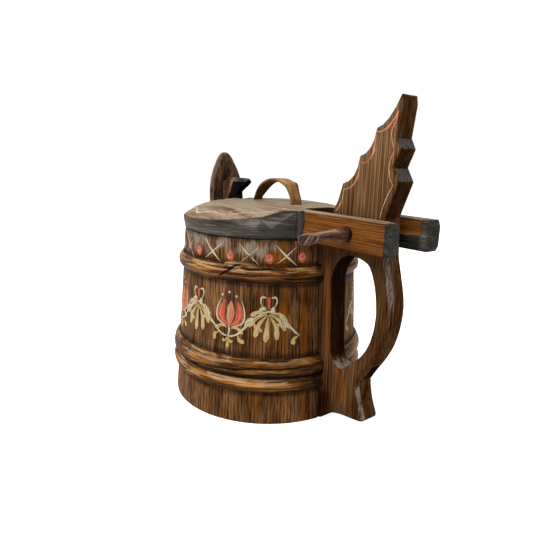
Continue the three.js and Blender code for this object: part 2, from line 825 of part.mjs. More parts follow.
add('handle_stave', handleStave(), handleStain);
add('latch_stave', latchStave(), staveStain);
addStaves();
const bottom = bottomBoard();
bottom.rotateX(Math.PI / 2);
add('bottom_board', facingOut(mergedBare(bottom)), rawPine);
Object.keys(hoopBands).forEach((name) => add(name, hoop(name), hoopStain));
add('lid_board', lidBoard(), lidStain);
add('lid_strap', lidStrap(), strapStain);
add('strap_wedge_front', strapWedge(false), rawPine);
add('strap_wedge_rear', strapWedge(true), rawPine);
add('hinge_peg', hingePeg(), pegStain);

// The finished part stands with its origin on the floor, under the middle of its length
const hoopReach = Math.max(...Object.values(hoopBands).flatMap((band) => hoopProfile(band).map((p) => p.x)));
tankard.position.x = (hoopReach - armEndX) / 2;

export default tankard;
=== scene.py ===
"""Dresses the staved wooden tankard in worn, stained and painted wood."""

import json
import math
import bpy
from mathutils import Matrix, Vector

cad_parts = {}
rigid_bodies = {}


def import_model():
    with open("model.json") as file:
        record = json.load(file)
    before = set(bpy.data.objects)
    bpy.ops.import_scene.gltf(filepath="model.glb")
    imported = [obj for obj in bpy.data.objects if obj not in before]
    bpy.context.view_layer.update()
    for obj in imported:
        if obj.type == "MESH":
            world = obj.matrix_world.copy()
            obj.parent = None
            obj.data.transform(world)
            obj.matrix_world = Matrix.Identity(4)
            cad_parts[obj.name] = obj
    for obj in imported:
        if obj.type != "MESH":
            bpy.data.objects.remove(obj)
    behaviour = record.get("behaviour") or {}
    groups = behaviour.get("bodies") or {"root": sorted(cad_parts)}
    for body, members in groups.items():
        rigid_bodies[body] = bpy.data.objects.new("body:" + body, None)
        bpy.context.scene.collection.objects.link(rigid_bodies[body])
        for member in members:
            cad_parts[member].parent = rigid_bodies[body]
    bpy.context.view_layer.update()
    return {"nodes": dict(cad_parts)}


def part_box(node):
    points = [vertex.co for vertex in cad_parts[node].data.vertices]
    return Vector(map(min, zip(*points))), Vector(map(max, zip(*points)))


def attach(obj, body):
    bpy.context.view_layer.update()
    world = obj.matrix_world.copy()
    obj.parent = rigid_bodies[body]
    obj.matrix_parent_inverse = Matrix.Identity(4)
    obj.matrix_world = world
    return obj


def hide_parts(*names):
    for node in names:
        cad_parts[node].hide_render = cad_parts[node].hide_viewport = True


bl_info = {
    "name": "Staved Tankard",
    "version": (1, 0, 0),
    "blender": (4, 5, 0),
    "location": "3D View > Sidebar > Tankard",
    "description": "Worn, stained and painted wood for a staved tankard with a forked lid",
    "category": "Object",
}

import bmesh
import bpy
import numpy as np
from bpy.props import FloatProperty, FloatVectorProperty, PointerProperty
from mathutils import Matrix, Vector, noise
from mathutils.bvhtree import BVHTree
from mathutils.kdtree import KDTree

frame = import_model()

MM = 0.001
AXIS_X = sum(corner.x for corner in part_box("bottom_board")) / 2

# The solids' own sizes: millimetres about the vessel's axis, and turns in degrees from the handle
BASE_RADIUS = 94.8
RIM_RADIUS = 84.0
RIM_HEIGHT = 167.0
WALL_THICKNESS = 9.5
GROOVE_LOW = 9.7
GROOVE_HIGH = 20.3
GROOVE_DEPTH = 3.0
BOARD_CLEAR = 9.9
JOINT_TURNS = (0.0, 37.0, 62.5, 87.7, 112.9, 138.2, 163.4)
LID_TOP = 192.3
LID_UNDERSIDE = 167.3
LID_RADIUS = 85.7
HINGE_X = 136.3
ARM_END_X = 176.5
FORK_GAP_HALF = 17.1
FORK_OUTER = 32.2
RING_STEP = math.radians(6)
# Middle height and width of each hoop
HOOP_BANDS = {
    "lower_hoop_foot": (37.3, 12.8),
    "lower_hoop_top": (53.6, 18.4),
    "upper_hoop": (137.0, 15.0),
}
# Heights where the bare wall starts and ends between the hoops
FOOT_TOP = 31
PANEL_LOW = 64
PANEL_HIGH = 134
BAND_LOW = 145
# Lengths round the wall that stand for one degree in its grain, its relief and its brushwork
GRAIN_MM_PER_DEGREE = 1.55
RELIEF_MM_PER_DEGREE = 1.5
BRUSH_MM_PER_DEGREE = 1.56


def wall_radius(z):
    """Outer radius of the tapering wall at a height."""
    return BASE_RADIUS + (RIM_RADIUS - BASE_RADIUS) * z / RIM_HEIGHT


def smoothstep(low, high, value):
    """0 at low and 1 at high, eased at both ends; low may be the greater one."""
    share = np.clip((np.asarray(value, float) - low) / (high - low), 0, 1)
    return share * share * (3 - 2 * share)


def hill(value, middle, width):
    """1 at the middle, falling away smoothly on both sides."""
    return np.exp(-((value - middle) / width) ** 2)


def rough(points, period, seed=0.0, octaves=2):
    """Smooth random values, about -1 to 1, with a period in millimetres along each axis."""
    scaled = np.asarray(points, float) / np.asarray(period, float) + seed
    return np.array([noise.fractal(Vector(p), 1.0, 2.0, octaves) for p in scaled])


def sizes():
    return bpy.context.scene.tankard_sizes


def colours():
    return bpy.context.scene.tankard_colours


# Meshes: worked in millimetres about the vessel's axis, then placed in the frame's metres


def placed(points):
    out = np.array(points, float) * MM
    out[:, 0] += AXIS_X
    return out


def link(name, mesh):
    piece = bpy.data.objects.new(name, mesh)
    bpy.context.scene.collection.objects.link(piece)
    return piece


def read_points(piece):
    """A piece's points in millimetres about the axis, and its unit normals."""
    count = len(piece.data.vertices)
    points = np.empty(count * 3)
    normals = np.empty(count * 3, np.float32)
    piece.data.vertices.foreach_get("co", points)
    piece.data.vertex_normals.foreach_get("vector", normals)
    points = points.reshape(-1, 3)
    points[:, 0] -= AXIS_X
    return points / MM, normals.reshape(-1, 3).astype(float)


def write_points(piece, points):
    piece.data.vertices.foreach_set("co", placed(points).ravel())
    piece.data.update()


def planed(piece, points, normals, depth, period, seed):
    """Sinks the points by shallow random hollows, as a blade leaves them."""
    hollows = depth * (1 + rough(points, period, seed))
    write_points(piece, points - normals * hollows[:, None])


def edge_pairs(piece):
    pairs = np.empty(len(piece.data.edges) * 2, int)
    piece.data.edges.foreach_get("vertices", pairs)
    return pairs.reshape(-1, 2)


def neighbour_mean(values, pairs, rounds):
    """Each value drawn towards the mean of its neighbours, several times."""
    count = len(values)
    first, second = pairs[:, 0], pairs[:, 1]
    degree = np.maximum(np.bincount(pairs.ravel(), minlength=count), 1)
    for _ in range(rounds):
        total = np.bincount(first, values[second], count)
        total = total + np.bincount(second, values[first], count)
        values = 0.4 * values + 0.6 * total / degree
    return values


def bend_of_surface(piece, rounds=2):
    """How sharply the surface bends, per millimetre: above 0 on edges, below 0 in corners."""
    points, normals = read_points(piece)
    pairs = edge_pairs(piece)
    first, second = pairs[:, 0], pairs[:, 1]
    span = points[second] - points[first]
    square = np.maximum((span * span).sum(1), 1e-4)
    at_first = -2 * (span * normals[first]).sum(1) / square
    at_second = 2 * (span * normals[second]).sum(1) / square
    count = len(points)
    degree = np.maximum(np.bincount(pairs.ravel(), minlength=count), 1)
    bend = np.bincount(first, at_first, count) + np.bincount(second, at_second, count)
    return neighbour_mean(bend / degree, pairs, rounds)


def store(piece, name, values):
    """Keeps a value or a vector per point for the materials."""
    values = np.asarray(values, np.float32)
    kind, key = ("FLOAT", "value") if values.ndim == 1 else ("FLOAT_VECTOR", "vector")
    attribute = piece.data.attributes.get(name) or piece.data.attributes.new(name, kind, "POINT")
    attribute.data.foreach_set(key, values.ravel())


def settle(piece):
    """Applies the modifiers to the mesh."""
    depsgraph = bpy.context.evaluated_depsgraph_get()
    mesh = bpy.data.meshes.new_from_object(piece.evaluated_get(depsgraph))
    piece.modifiers.clear()
    worked = piece.data
    piece.data = mesh
    bpy.data.meshes.remove(worked)


def close_meshed(node, name, step, rubbing, crisp=False):
    """A close-meshed copy of a solid, its edges rubbed; a crisp one keeps its flat faces."""
    solid = frame["nodes"][node].data
    shell = bmesh.new()
    shell.from_mesh(solid)
    bmesh.ops.remove_doubles(shell, verts=shell.verts, dist=1e-6)
    mesh = bpy.data.meshes.new(name)
    shell.to_mesh(mesh)
    shell.free()
    piece = link(name, mesh)
    remesh = piece.modifiers.new("Close mesh", "REMESH")
    remesh.mode = "VOXEL"
    remesh.voxel_size = step * sizes().mesh_step * MM
    rub = piece.modifiers.new("Rubbed edges", "SMOOTH")
    rub.factor = 0.5
    rub.iterations = rubbing
    settle(piece)
    piece.data.materials.clear()
    if crisp:
        corners = [vertex.co for vertex in solid.vertices]
        tree = BVHTree.FromPolygons(corners, [list(face.vertices) for face in solid.polygons])
        nearest = [tree.find_nearest(point.co)[0] for point in piece.data.vertices]
        piece.data.vertices.foreach_set("co", np.array(nearest).ravel())
        piece.data.update()
    return piece


def eased_outline(points, pairs, wall, zone, rounds=50, reach=6.0):
    """Rounds the steps of a sawn outline in the board's plane, and the edges beside it follow."""
    flat_points = points[:, [0, 2]]
    along = pairs[wall[pairs].all(1)]
    eased = np.column_stack([neighbour_mean(flat_points[:, k], along, rounds) for k in (0, 1)])
    lonely = np.bincount(along.ravel(), minlength=len(points)) < 2
    eased[lonely] = flat_points[lonely]
    shift = (eased - flat_points) * (wall & ~lonely)[:, None]
    known = np.flatnonzero(wall & ~lonely)
    tree = KDTree(len(known))
    for k, index in enumerate(known):
        tree.insert((*flat_points[index], 0), k)
    tree.balance()
    out = points.copy()
    for index in np.flatnonzero(zone):
        _, k, distance = tree.find((*flat_points[index], 0))
        out[index, [0, 2]] += shift[known[k]] * float(smoothstep(reach, reach * 0.7, distance))
    return out


def swept(sections):
    """Points and faces of a solid swept through a row of equal sections."""
    count = len(sections[0])
    last = (len(sections) - 1) * count
    faces = []
    for low in range(0, last, count):
        for k in range(count):
            after = (k + 1) % count
            faces.append((low + k, low + after, low + count + after, low + count + k))
    faces.append(tuple(reversed(range(count))))
    faces.append(tuple(range(last, last + count)))
    return np.concatenate(sections), faces


def solid_piece(name, points, faces, sharp_degrees=50):
    """A closed mesh with its faces turned outwards."""
    mesh = bpy.data.meshes.new(name)
    mesh.from_pydata(placed(points).tolist(), [], faces)
    shell = bmesh.new()
    shell.from_mesh(mesh)
    bmesh.ops.recalc_face_normals(shell, faces=shell.faces)
    shell.to_mesh(mesh)
    shell.free()
    mesh.shade_smooth()
    mesh.set_sharp_from_angle(angle=math.radians(sharp_degrees))
    return link(name, mesh)


def shaved(points, spot, direction, reach, heart=None):
    """Points beyond a knife's plane are laid back onto it, as far as reach from the cut's heart."""
    normal = np.array(direction, float)
    normal /= np.linalg.norm(normal)
    over = (points - np.array(spot, float)) @ normal
    heart = np.array(spot if heart is None else heart, float)
    cut = (over > 0) & (np.linalg.norm(points - heart, axis=1) < reach)
    out = points.copy()
    out[cut] -= over[cut, None] * normal
    return out


def dress(piece, material, body, slot, *nodes):
    """Gives a piece its finish, its body and the solids that it stands for."""
    piece.data.materials.clear()
    piece.data.materials.append(material)
    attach(piece, body)
    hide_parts(*nodes)


def weather(piece, grain, edge=(0.12, 0.75), top=0.35, corner=(0.06, 0.45), wear=0.0, dirt=0.0,
            tone=0.0, glow=-1.0, rings=1.0):
    """Stores what the wood's finish reads at each point.

    grain runs along the wood. Bends between the edge values are rubbed. What faces up is paler by
    top, partly as rubbing and partly as painted light from above. Corners between the corner values
    are darker, partly from soiling and partly as painted shade. wear and dirt are added
    to these: the first holds rubbing and painted sheen, the second soiling and painted shade. tone
    makes the stain paler, glow makes it orange and rings brings out the growth lines.
    """
    points, normals = read_points(piece)
    bend = bend_of_surface(piece)
    wear = smoothstep(*edge, bend) + top * smoothstep(0.55, 0.95, normals[:, 2]) + wear
    dirt = smoothstep(*corner, -bend) + dirt
    flat = np.zeros(len(points))
    store(piece, "grain", grain)
    store(piece, "wear", np.clip(wear * sizes().wear, 0, 1))
    store(piece, "dirt", np.clip(dirt * sizes().grime_and_shade, 0, 1))
    store(piece, "tone", flat + tone)
    store(piece, "glow", flat + glow)
    store(piece, "rings", flat + rings)


# Finishes


class Finish:
    """Shader nodes under way for a material or the world: each call gives back an output."""

    def __init__(self, owner):
        owner.use_nodes = True
        self.owner = owner
        self.tree = owner.node_tree
        self.tree.nodes.clear()

    def node(self, kind, inputs, **settings):
        made = self.tree.nodes.new("ShaderNode" + kind)
        for key, value in settings.items():
            setattr(made, key, value)
        for key, value in inputs.items():
            if isinstance(value, bpy.types.NodeSocket):
                self.tree.links.new(value, made.inputs[key])
            else:
                made.inputs[key].default_value = value
        return made

    def value(self, name):
        return self.node("Attribute", {}, attribute_name=name).outputs["Fac"]

    def vector(self, name):
        return self.node("Attribute", {}, attribute_name=name).outputs["Vector"]

    def math(self, operation, a, b, clamp=False):
        return self.node("Math", {0: a, 1: b}, operation=operation, use_clamp=clamp).outputs[0]

    def times(self, a, b):
        return self.math("MULTIPLY", a, b)

    def total(self, first, *others, clamp=False):
        """A sum of several values, clamped to 0 and 1 at its end if asked."""
        for other in others[:-1]:
            first = self.math("ADD", first, other)
        return self.math("ADD", first, others[-1], clamp)

    def swing(self, value, gain):
        """A noise value about 0, with its swing widened."""
        return self.times(self.math("SUBTRACT", value, 0.5), gain)

    def stretch(self, vector, scale):
        return self.node("VectorMath", {0: vector, 1: scale}, operation="MULTIPLY").outputs[0]

    def noise(self, vector, detail, roughness):
        inputs = {"Vector": vector, "Scale": 1.0, "Detail": detail, "Roughness": roughness,
                  "Distortion": 0.0}
        return self.node("TexNoise", inputs).outputs["Fac"]

    def step(self, low, high, value):
        inputs = {"Value": value, "From Min": low, "From Max": high}
        return self.node("MapRange", inputs, interpolation_type="SMOOTHSTEP").outputs["Result"]

    def span(self, low, high, value):
        inputs = {"Value": value, "To Min": low, "To Max": high}
        return self.node("MapRange", inputs).outputs["Result"]

    def mix(self, factor, a, b):
        return self.node("Mix", {0: factor, 6: a, 7: b}, data_type="RGBA").outputs[2]

    def ramp(self, factor, tones):
        """Colours at even steps from 0 to 1."""
        made = self.node("ValToRGB", {"Fac": factor})
        elements = made.color_ramp.elements
        while len(elements) < len(tones):
            elements.new(0.5)
        for k, (element, tone) in enumerate(zip(elements, tones)):
            element.position = k / (len(tones) - 1)
            element.color = rgba(tone)
        return made.outputs["Color"]

    def bump(self, height, distance, strength):
        inputs = {"Height": height, "Distance": distance * MM, "Strength": strength}
        return self.node("Bump", inputs).outputs["Normal"]

    def seen(self, *rays):
        """1 for the given kinds of ray, such as those from the camera, and 0 for the rest."""
        path = self.node("LightPath", {})
        seen = path.outputs[rays[0]]
        for ray in rays[1:]:
            seen = self.math("MAXIMUM", seen, path.outputs[ray])
        return seen

    def close(self, shader, kind="OutputMaterial"):
        self.node(kind, {0: shader})
        return self.owner

    def done(self, **inputs):
        named = {key.replace("_", " "): value for key, value in inputs.items()}
        return self.close(self.node("BsdfPrincipled", named).outputs[0])


def rgba(colour, share=1.0):
    return (*(channel * share for channel in colour), 1.0)


def wood(name, tones, worn, grime_and_shade, glow, patch=(90, 12), patch_share=0.75, streak=(70, 1.9),
         streak_share=0.5, fibre_share=0.3, pore=(75, 0.95), pore_share=0.24, line_spacing=3.2,
         line_share=-0.14, line_width=(0.3, 0.48), bow_share=5.5, bias=0.0, gloss=0.52, shine=0.07,
         soot=None):
    """Stained pine with patches, streaks, pores and growth lines along the grain.

    The pairs are lengths along and across the grain in millimetres. The shares say how much each of
    them changes the tone, and bias lightens all of it. Points stored as char take the soot's tones.
    """
    finish = Finish(bpy.data.materials.new(name))
    grain = finish.vector("grain")

    def along(period, detail, roughness=0.6):
        stretched = finish.stretch(grain, (1 / period[0], 1 / period[1], 1 / period[1]))
        return finish.noise(stretched, detail, roughness)

    patches = along(patch, 3.0)
    streaks = along(streak, 3.0)
    fibres = along((24, 0.6), 4.0, 0.7)
    pores = along(pore, 2.0, 0.5)
    bow = along((160, 40), 2.0, 0.55)

    across = finish.node("SeparateXYZ", {0: grain}).outputs[1]
    spacing = line_spacing * sizes().line_spacing
    turns = finish.total(finish.times(across, 1 / spacing), finish.times(bow, bow_share))
    line = finish.step(*line_width, finish.math("PINGPONG", turns, 0.5))
    line = finish.times(line, finish.value("rings"))
    crisp = finish.math("SUBTRACT", finish.step(0.42, 0.36, pores), finish.step(0.55, 0.62, pores))

    tone = finish.total(finish.swing(patches, 3.0 * patch_share), 0.45 + bias, finish.value("tone"),
                        finish.swing(streaks, 3.0 * streak_share),
                        finish.swing(fibres, 3.0 * fibre_share), finish.times(crisp, pore_share),
                        finish.times(line, line_share), clamp=True)
    colour = finish.ramp(tone, tones)

    fleck = finish.step(0.36, 0.66, finish.times(finish.total(fibres, pores), 0.5))
    warm = finish.mix(fleck, rgba(glow, 0.35), rgba(glow))
    lit = finish.total(finish.value("glow"), finish.swing(streaks, 2.6))
    colour = finish.mix(finish.times(finish.step(0.15, 1.05, lit), 0.85), colour, warm)

    # Rubbing and the painted sheen both take the worn tone
    rub = finish.total(finish.value("wear"), finish.swing(fibres, 1.5), finish.swing(streaks, 0.9))
    rub = finish.step(0.25, 0.95, rub)
    rubbed = finish.mix(finish.step(0.36, 0.64, fibres), rgba(worn, 0.5), rgba(worn))
    colour = finish.mix(finish.times(rub, 0.85), colour, rubbed)

    roughness = finish.total(finish.span(gloss - 0.06, gloss + 0.14, fibres),
                             finish.times(rub, 0.06), clamp=True)
    height = finish.total(finish.times(fibres, 0.8), finish.times(streaks, 0.9),
                          finish.times(line, 0.3))
    if soot is not None:
        ash_fibres = along((16, 1.3), 4.0, 0.65)
        scorched = finish.total(finish.value("char"), finish.swing(streaks, 0.5))
        ash = finish.total(finish.swing(ash_fibres, 1.3), finish.swing(patches, 1.0),
                           finish.value("ash"))
        colour = finish.mix(finish.step(0.4, 0.6, scorched), colour, finish.ramp(ash, soot))
        height = finish.total(height, finish.times(ash_fibres, 0.8))
    # Soiling and the painted shade both darken towards one dark tone
    colour = finish.mix(finish.times(finish.value("dirt"), 0.92), colour, rgba(grime_and_shade))
    return finish.done(Base_Color=colour, Roughness=roughness, Specular_IOR_Level=shine,
                       Normal=finish.bump(height, 0.12, 0.7))


def paint(name, colour, under):
    """Thick paint with brush marks, thin enough in places for the dark wood to show."""
    finish = Finish(bpy.data.materials.new(name))
    grain = finish.vector("grain")
    marks = finish.noise(finish.stretch(grain, (0.11, 1.7, 1.0)), 3.0, 0.65)
    blots = finish.noise(finish.stretch(grain, (0.22, 0.5, 1.0)), 3.0, 0.6)
    thin = finish.total(finish.times(marks, 0.55), finish.times(blots, 0.5))
    bare = finish.times(finish.step(0.54, 0.64, thin), 0.9)
    coat = finish.mix(finish.step(0.3, 0.7, marks), rgba(colour, 0.62), rgba(colour))
    return finish.done(Base_Color=finish.mix(bare, coat, rgba(under)),
                       Roughness=finish.span(0.5, 0.7, blots), Specular_IOR_Level=0.1,
                       Normal=finish.bump(marks, 0.12, 0.8))


# Wall and hoops


def soil_and_shade_by_hoops(z):
    """1 on the wall close above and below each hoop, where soiling settles and painted shade lies.
    """
    edges = [middle + side * (width / 2 + 1.5) for middle, width in HOOP_BANDS.values()
             for side in (-1, 1)]
    return np.clip(sum(hill(z, edge, 2.2) for edge in edges), 0, 1)


def upright_columns(across, z, seed):
    """Random values that hardly change up the wall, for the orange runs in its stain."""
    return rough(np.column_stack([across, z * 0.04, z * 0]), 7.0, seed)


def stave_profile():
    """Radius and height round a stave's section, and which of the points are outside."""
    def inner(z):
        return wall_radius(z) - WALL_THICKNESS

    outer = [(wall_radius(z), z) for z in np.linspace(0, RIM_HEIGHT, 72)]
    outer[0] = (wall_radius(0) - 1.2, 0.0)
    outer.insert(1, (wall_radius(0) - 0.35, 0.35))
    outer[-1] = (wall_radius(RIM_HEIGHT) - 1.0, RIM_HEIGHT)
    outer.insert(-1, (wall_radius(RIM_HEIGHT) - 0.3, RIM_HEIGHT - 0.35))
    inside = [(inner(RIM_HEIGHT) + 1, RIM_HEIGHT), (inner(RIM_HEIGHT), RIM_HEIGHT - 1.5)]
    inside += [(inner(z), z) for z in np.linspace(RIM_HEIGHT - 12, GROOVE_HIGH + 6, 12)]
    inside += [(inner(GROOVE_HIGH), GROOVE_HIGH), (inner(GROOVE_HIGH) + GROOVE_DEPTH, GROOVE_HIGH),
               (inner(GROOVE_LOW) + GROOVE_DEPTH, GROOVE_LOW), (inner(GROOVE_LOW), GROOVE_LOW),
               (inner(3), 3), (inner(0) + 3, 0)]
    profile = np.array(outer + inside)
    return profile, np.arange(len(profile)) < len(outer)


def stave_solid(name, side, number, seed):
    """One wall stave: hand-planed outside, straight joints with rubbed edges, a groove inside."""
    profile, is_outer = stave_profile()
    radius, z = profile.T
    start, end = np.radians(JOINT_TURNS[number - 1:number + 1])
    gap = 0.005 / RIM_RADIUS
    arc = (end - start) * RIM_RADIUS
    by_joint = np.array([0.0, 0.25, 0.6, 1.1]) / arc
    shares = [*by_joint, *np.linspace(2.2 / arc, 1 - 2.2 / arc, 15), *(1 - by_joint[::-1])]
    sections = []
    for share in shares:
        first = np.arcsin(BOARD_CLEAR / radius) if number == 1 else start + gap
        turn = (first + share * (end - gap - first)) * np.ones(len(z))
        to_joint = min(share, 1 - share) * arc
        rubbed_in = sizes().joint_depth / MM * hill(to_joint, 0, sizes().joint_width / MM)
        spots = np.column_stack([np.degrees(turn) * RELIEF_MM_PER_DEGREE, z, np.full_like(z, seed)])
        marks = sizes().plane_marks / MM * (1 + rough(spots, (11.0, 45.0, 1.0), 3.0))
        reach = radius - np.where(is_outer, marks + rubbed_in, 0)
        sections.append(np.column_stack([reach * np.cos(turn), side * reach * np.sin(turn), z]))
    return solid_piece(name, *swept(sections))


def make_stave(name, side, number):
    """A wall stave with its stain, its cracks, and the soiling, rubbing and painted shade that its
    place gives it.
    """
    seed = number + (0 if side < 0 else 20)
    piece = stave_solid(name, side, number, seed)
    points, _ = read_points(piece)
    x, y, z = points.T
    radius = np.hypot(x, y)
    turn = np.degrees(np.arctan2(y, x))
    away = abs(turn)
    along_wall = np.column_stack([turn * GRAIN_MM_PER_DEGREE, z, z * 0 + seed])

    crack = smoothstep(0.07, 0.0, abs(rough(along_wall, (7, 260, 1), 17.0)))
    crack *= smoothstep(0.05, 0.3, rough(along_wall, (30, 45, 1), 27.0))
    mottled = np.clip(0.05 + 0.5 * rough(along_wall, (26, 34, 1), 37.0, 4), 0, 0.3)
    scrape = hill(z, 25.5 + 0.079 * (turn + 68), 0.5) * (abs(turn + 42) < 26)
    start, end = JOINT_TURNS[number - 1:number + 1]
    to_joint = np.minimum(abs(turn * side - start), abs(end - turn * side)) * RELIEF_MM_PER_DEGREE
    joint = hill(to_joint, 0, 0.4)
    # Painted shadow beside the handle board and under the lid's overhang
    shadow_by_board = hill(away, 6.5, 2.2)
    shadow_under_lid = smoothstep(RIM_HEIGHT - 3.2, RIM_HEIGHT - 1.2, z)
    # Soiling, together with painted shade by the hoops, the board and the lid
    stave_soil_and_shade = (0.75 * soil_and_shade_by_hoops(z) + 0.5 * joint + 0.6 * shadow_by_board + 0.7 * shadow_under_lid + 0.6 * crack
             + mottled + 0.5 * scrape)

    rubbed_rim = smoothstep(RIM_HEIGHT - 26, RIM_HEIGHT - 5, z) * smoothstep(14, 40, away)
    rubbed_rim *= 0.5 + 0.9 * rough(points, (13, 13, 9), 7.0)
    outside = radius > wall_radius(z) - 3

    foot = z < FOOT_TOP
    left = smoothstep(95, 125, away)
    by_handle = smoothstep(26, 16, away) * (z > PANEL_LOW) * (z < PANEL_HIGH)
    band = (z > BAND_LOW) * (hill(away, 76, 8) + hill(away, 33, 6))
    columns = upright_columns(turn * GRAIN_MM_PER_DEGREE, z, 3.0 + seed)
    panel = 0.25 * smoothstep(48, 28, away) - 0.25 * smoothstep(48, 56, away) * (away <= 84)
    glow = 1.5 * columns + 0.3 * by_handle + 0.4 * foot + 0.6 * band - 0.4 * left
    glow += panel * (z > PANEL_LOW)
    own_tone = 0.1 * rough(np.full((1, 3), seed * 3.7), 1.0)[0]

    grain = np.column_stack([z + 400 * seed, turn * GRAIN_MM_PER_DEGREE + 70 * seed, radius])
    weather(piece, grain, edge=(0.3, 1.6), top=0.0,
            wear=np.where(outside, np.maximum(rubbed_rim * 0.95, 0), 0),
            dirt=np.where(outside, stave_soil_and_shade, 0.25),
            tone=own_tone + 0.03 * foot + 0.1 * by_handle - 0.1 * left,
            glow=glow - 0.12)
    return piece


def make_staves(material):
    for label, side in (("near", -1), ("far", 1)):
        for number in range(1, len(JOINT_TURNS)):
            piece = make_stave(f"wall_{label}_{number}", side, number)
            dress(piece, material, "vessel", "stave_pine", f"stave_{label}_{number}")


def trued(points):
    """Moves points of a solid turned in flat steps out to the true round."""
    turn = np.arctan2(points[:, 1], points[:, 0])
    off = (turn + math.pi) % RING_STEP - RING_STEP / 2
    out = points.copy()
    out[:, :2] *= (np.cos(off) / math.cos(RING_STEP / 2))[:, None]
    return out


# Splits in the hoops: knots as turn and height, then half the split's width and its depth
SPLITS = {
    "upper_hoop": (
        (((-68, 131.5), (-62, 138), (-57.5, 143), (-53, 145)), 0.8, 2.2),
        (((-57, 143.0), (-50, 141.6), (-42, 141.9), (-33, 143.6)), 0.6, 1.5),
        (((-31, 134.5), (-22, 132.8), (-10, 133.5)), 0.8, 1.5),
        (((-100, 138), (-88, 139.5), (-74, 138)), 0.7, 1.0),
    ),
    "lower_hoop_top": (
        (((-104, 51), (-80, 48.6), (-70, 50), (-58, 51), (-46, 54), (-35, 53.6), (-20, 54.5),
          (-6, 56)), 0.9, 2.0),
        (((-86, 47.6), (-78, 46.4), (-66, 48.6)), 0.6, 1.2),
        (((-40, 50.4), (-30, 49.2), (-20, 50.6)), 0.6, 1.2),
    ),
    "lower_hoop_foot": (
        (((-108, 36), (-60, 35.6), (-45, 35.2), (-8, 35.6)), 0.7, 1.1),
        (((-40, 41.6), (-28, 42.4), (-12, 41.8)), 0.6, 0.8),
    ),
}


def split_depth(node, turn, z):
    """Depth of a hoop's own splits at each point."""
    wander = 0.5 * rough(np.column_stack([turn * 1.6, z * 0, z * 0]), 9.0, 2.0)
    depth = np.zeros(len(z))
    for knots, half_width, deep in SPLITS[node]:
        turns, heights = np.array(knots, float).T
        ends = smoothstep(turns[0], turns[0] + 5, turn) * smoothstep(turns[-1], turns[-1] - 5, turn)
        across = hill(z - wander, np.interp(turn, turns, heights), half_width)
        depth = np.maximum(depth, deep * sizes().split_depth * ends * across)
    return depth


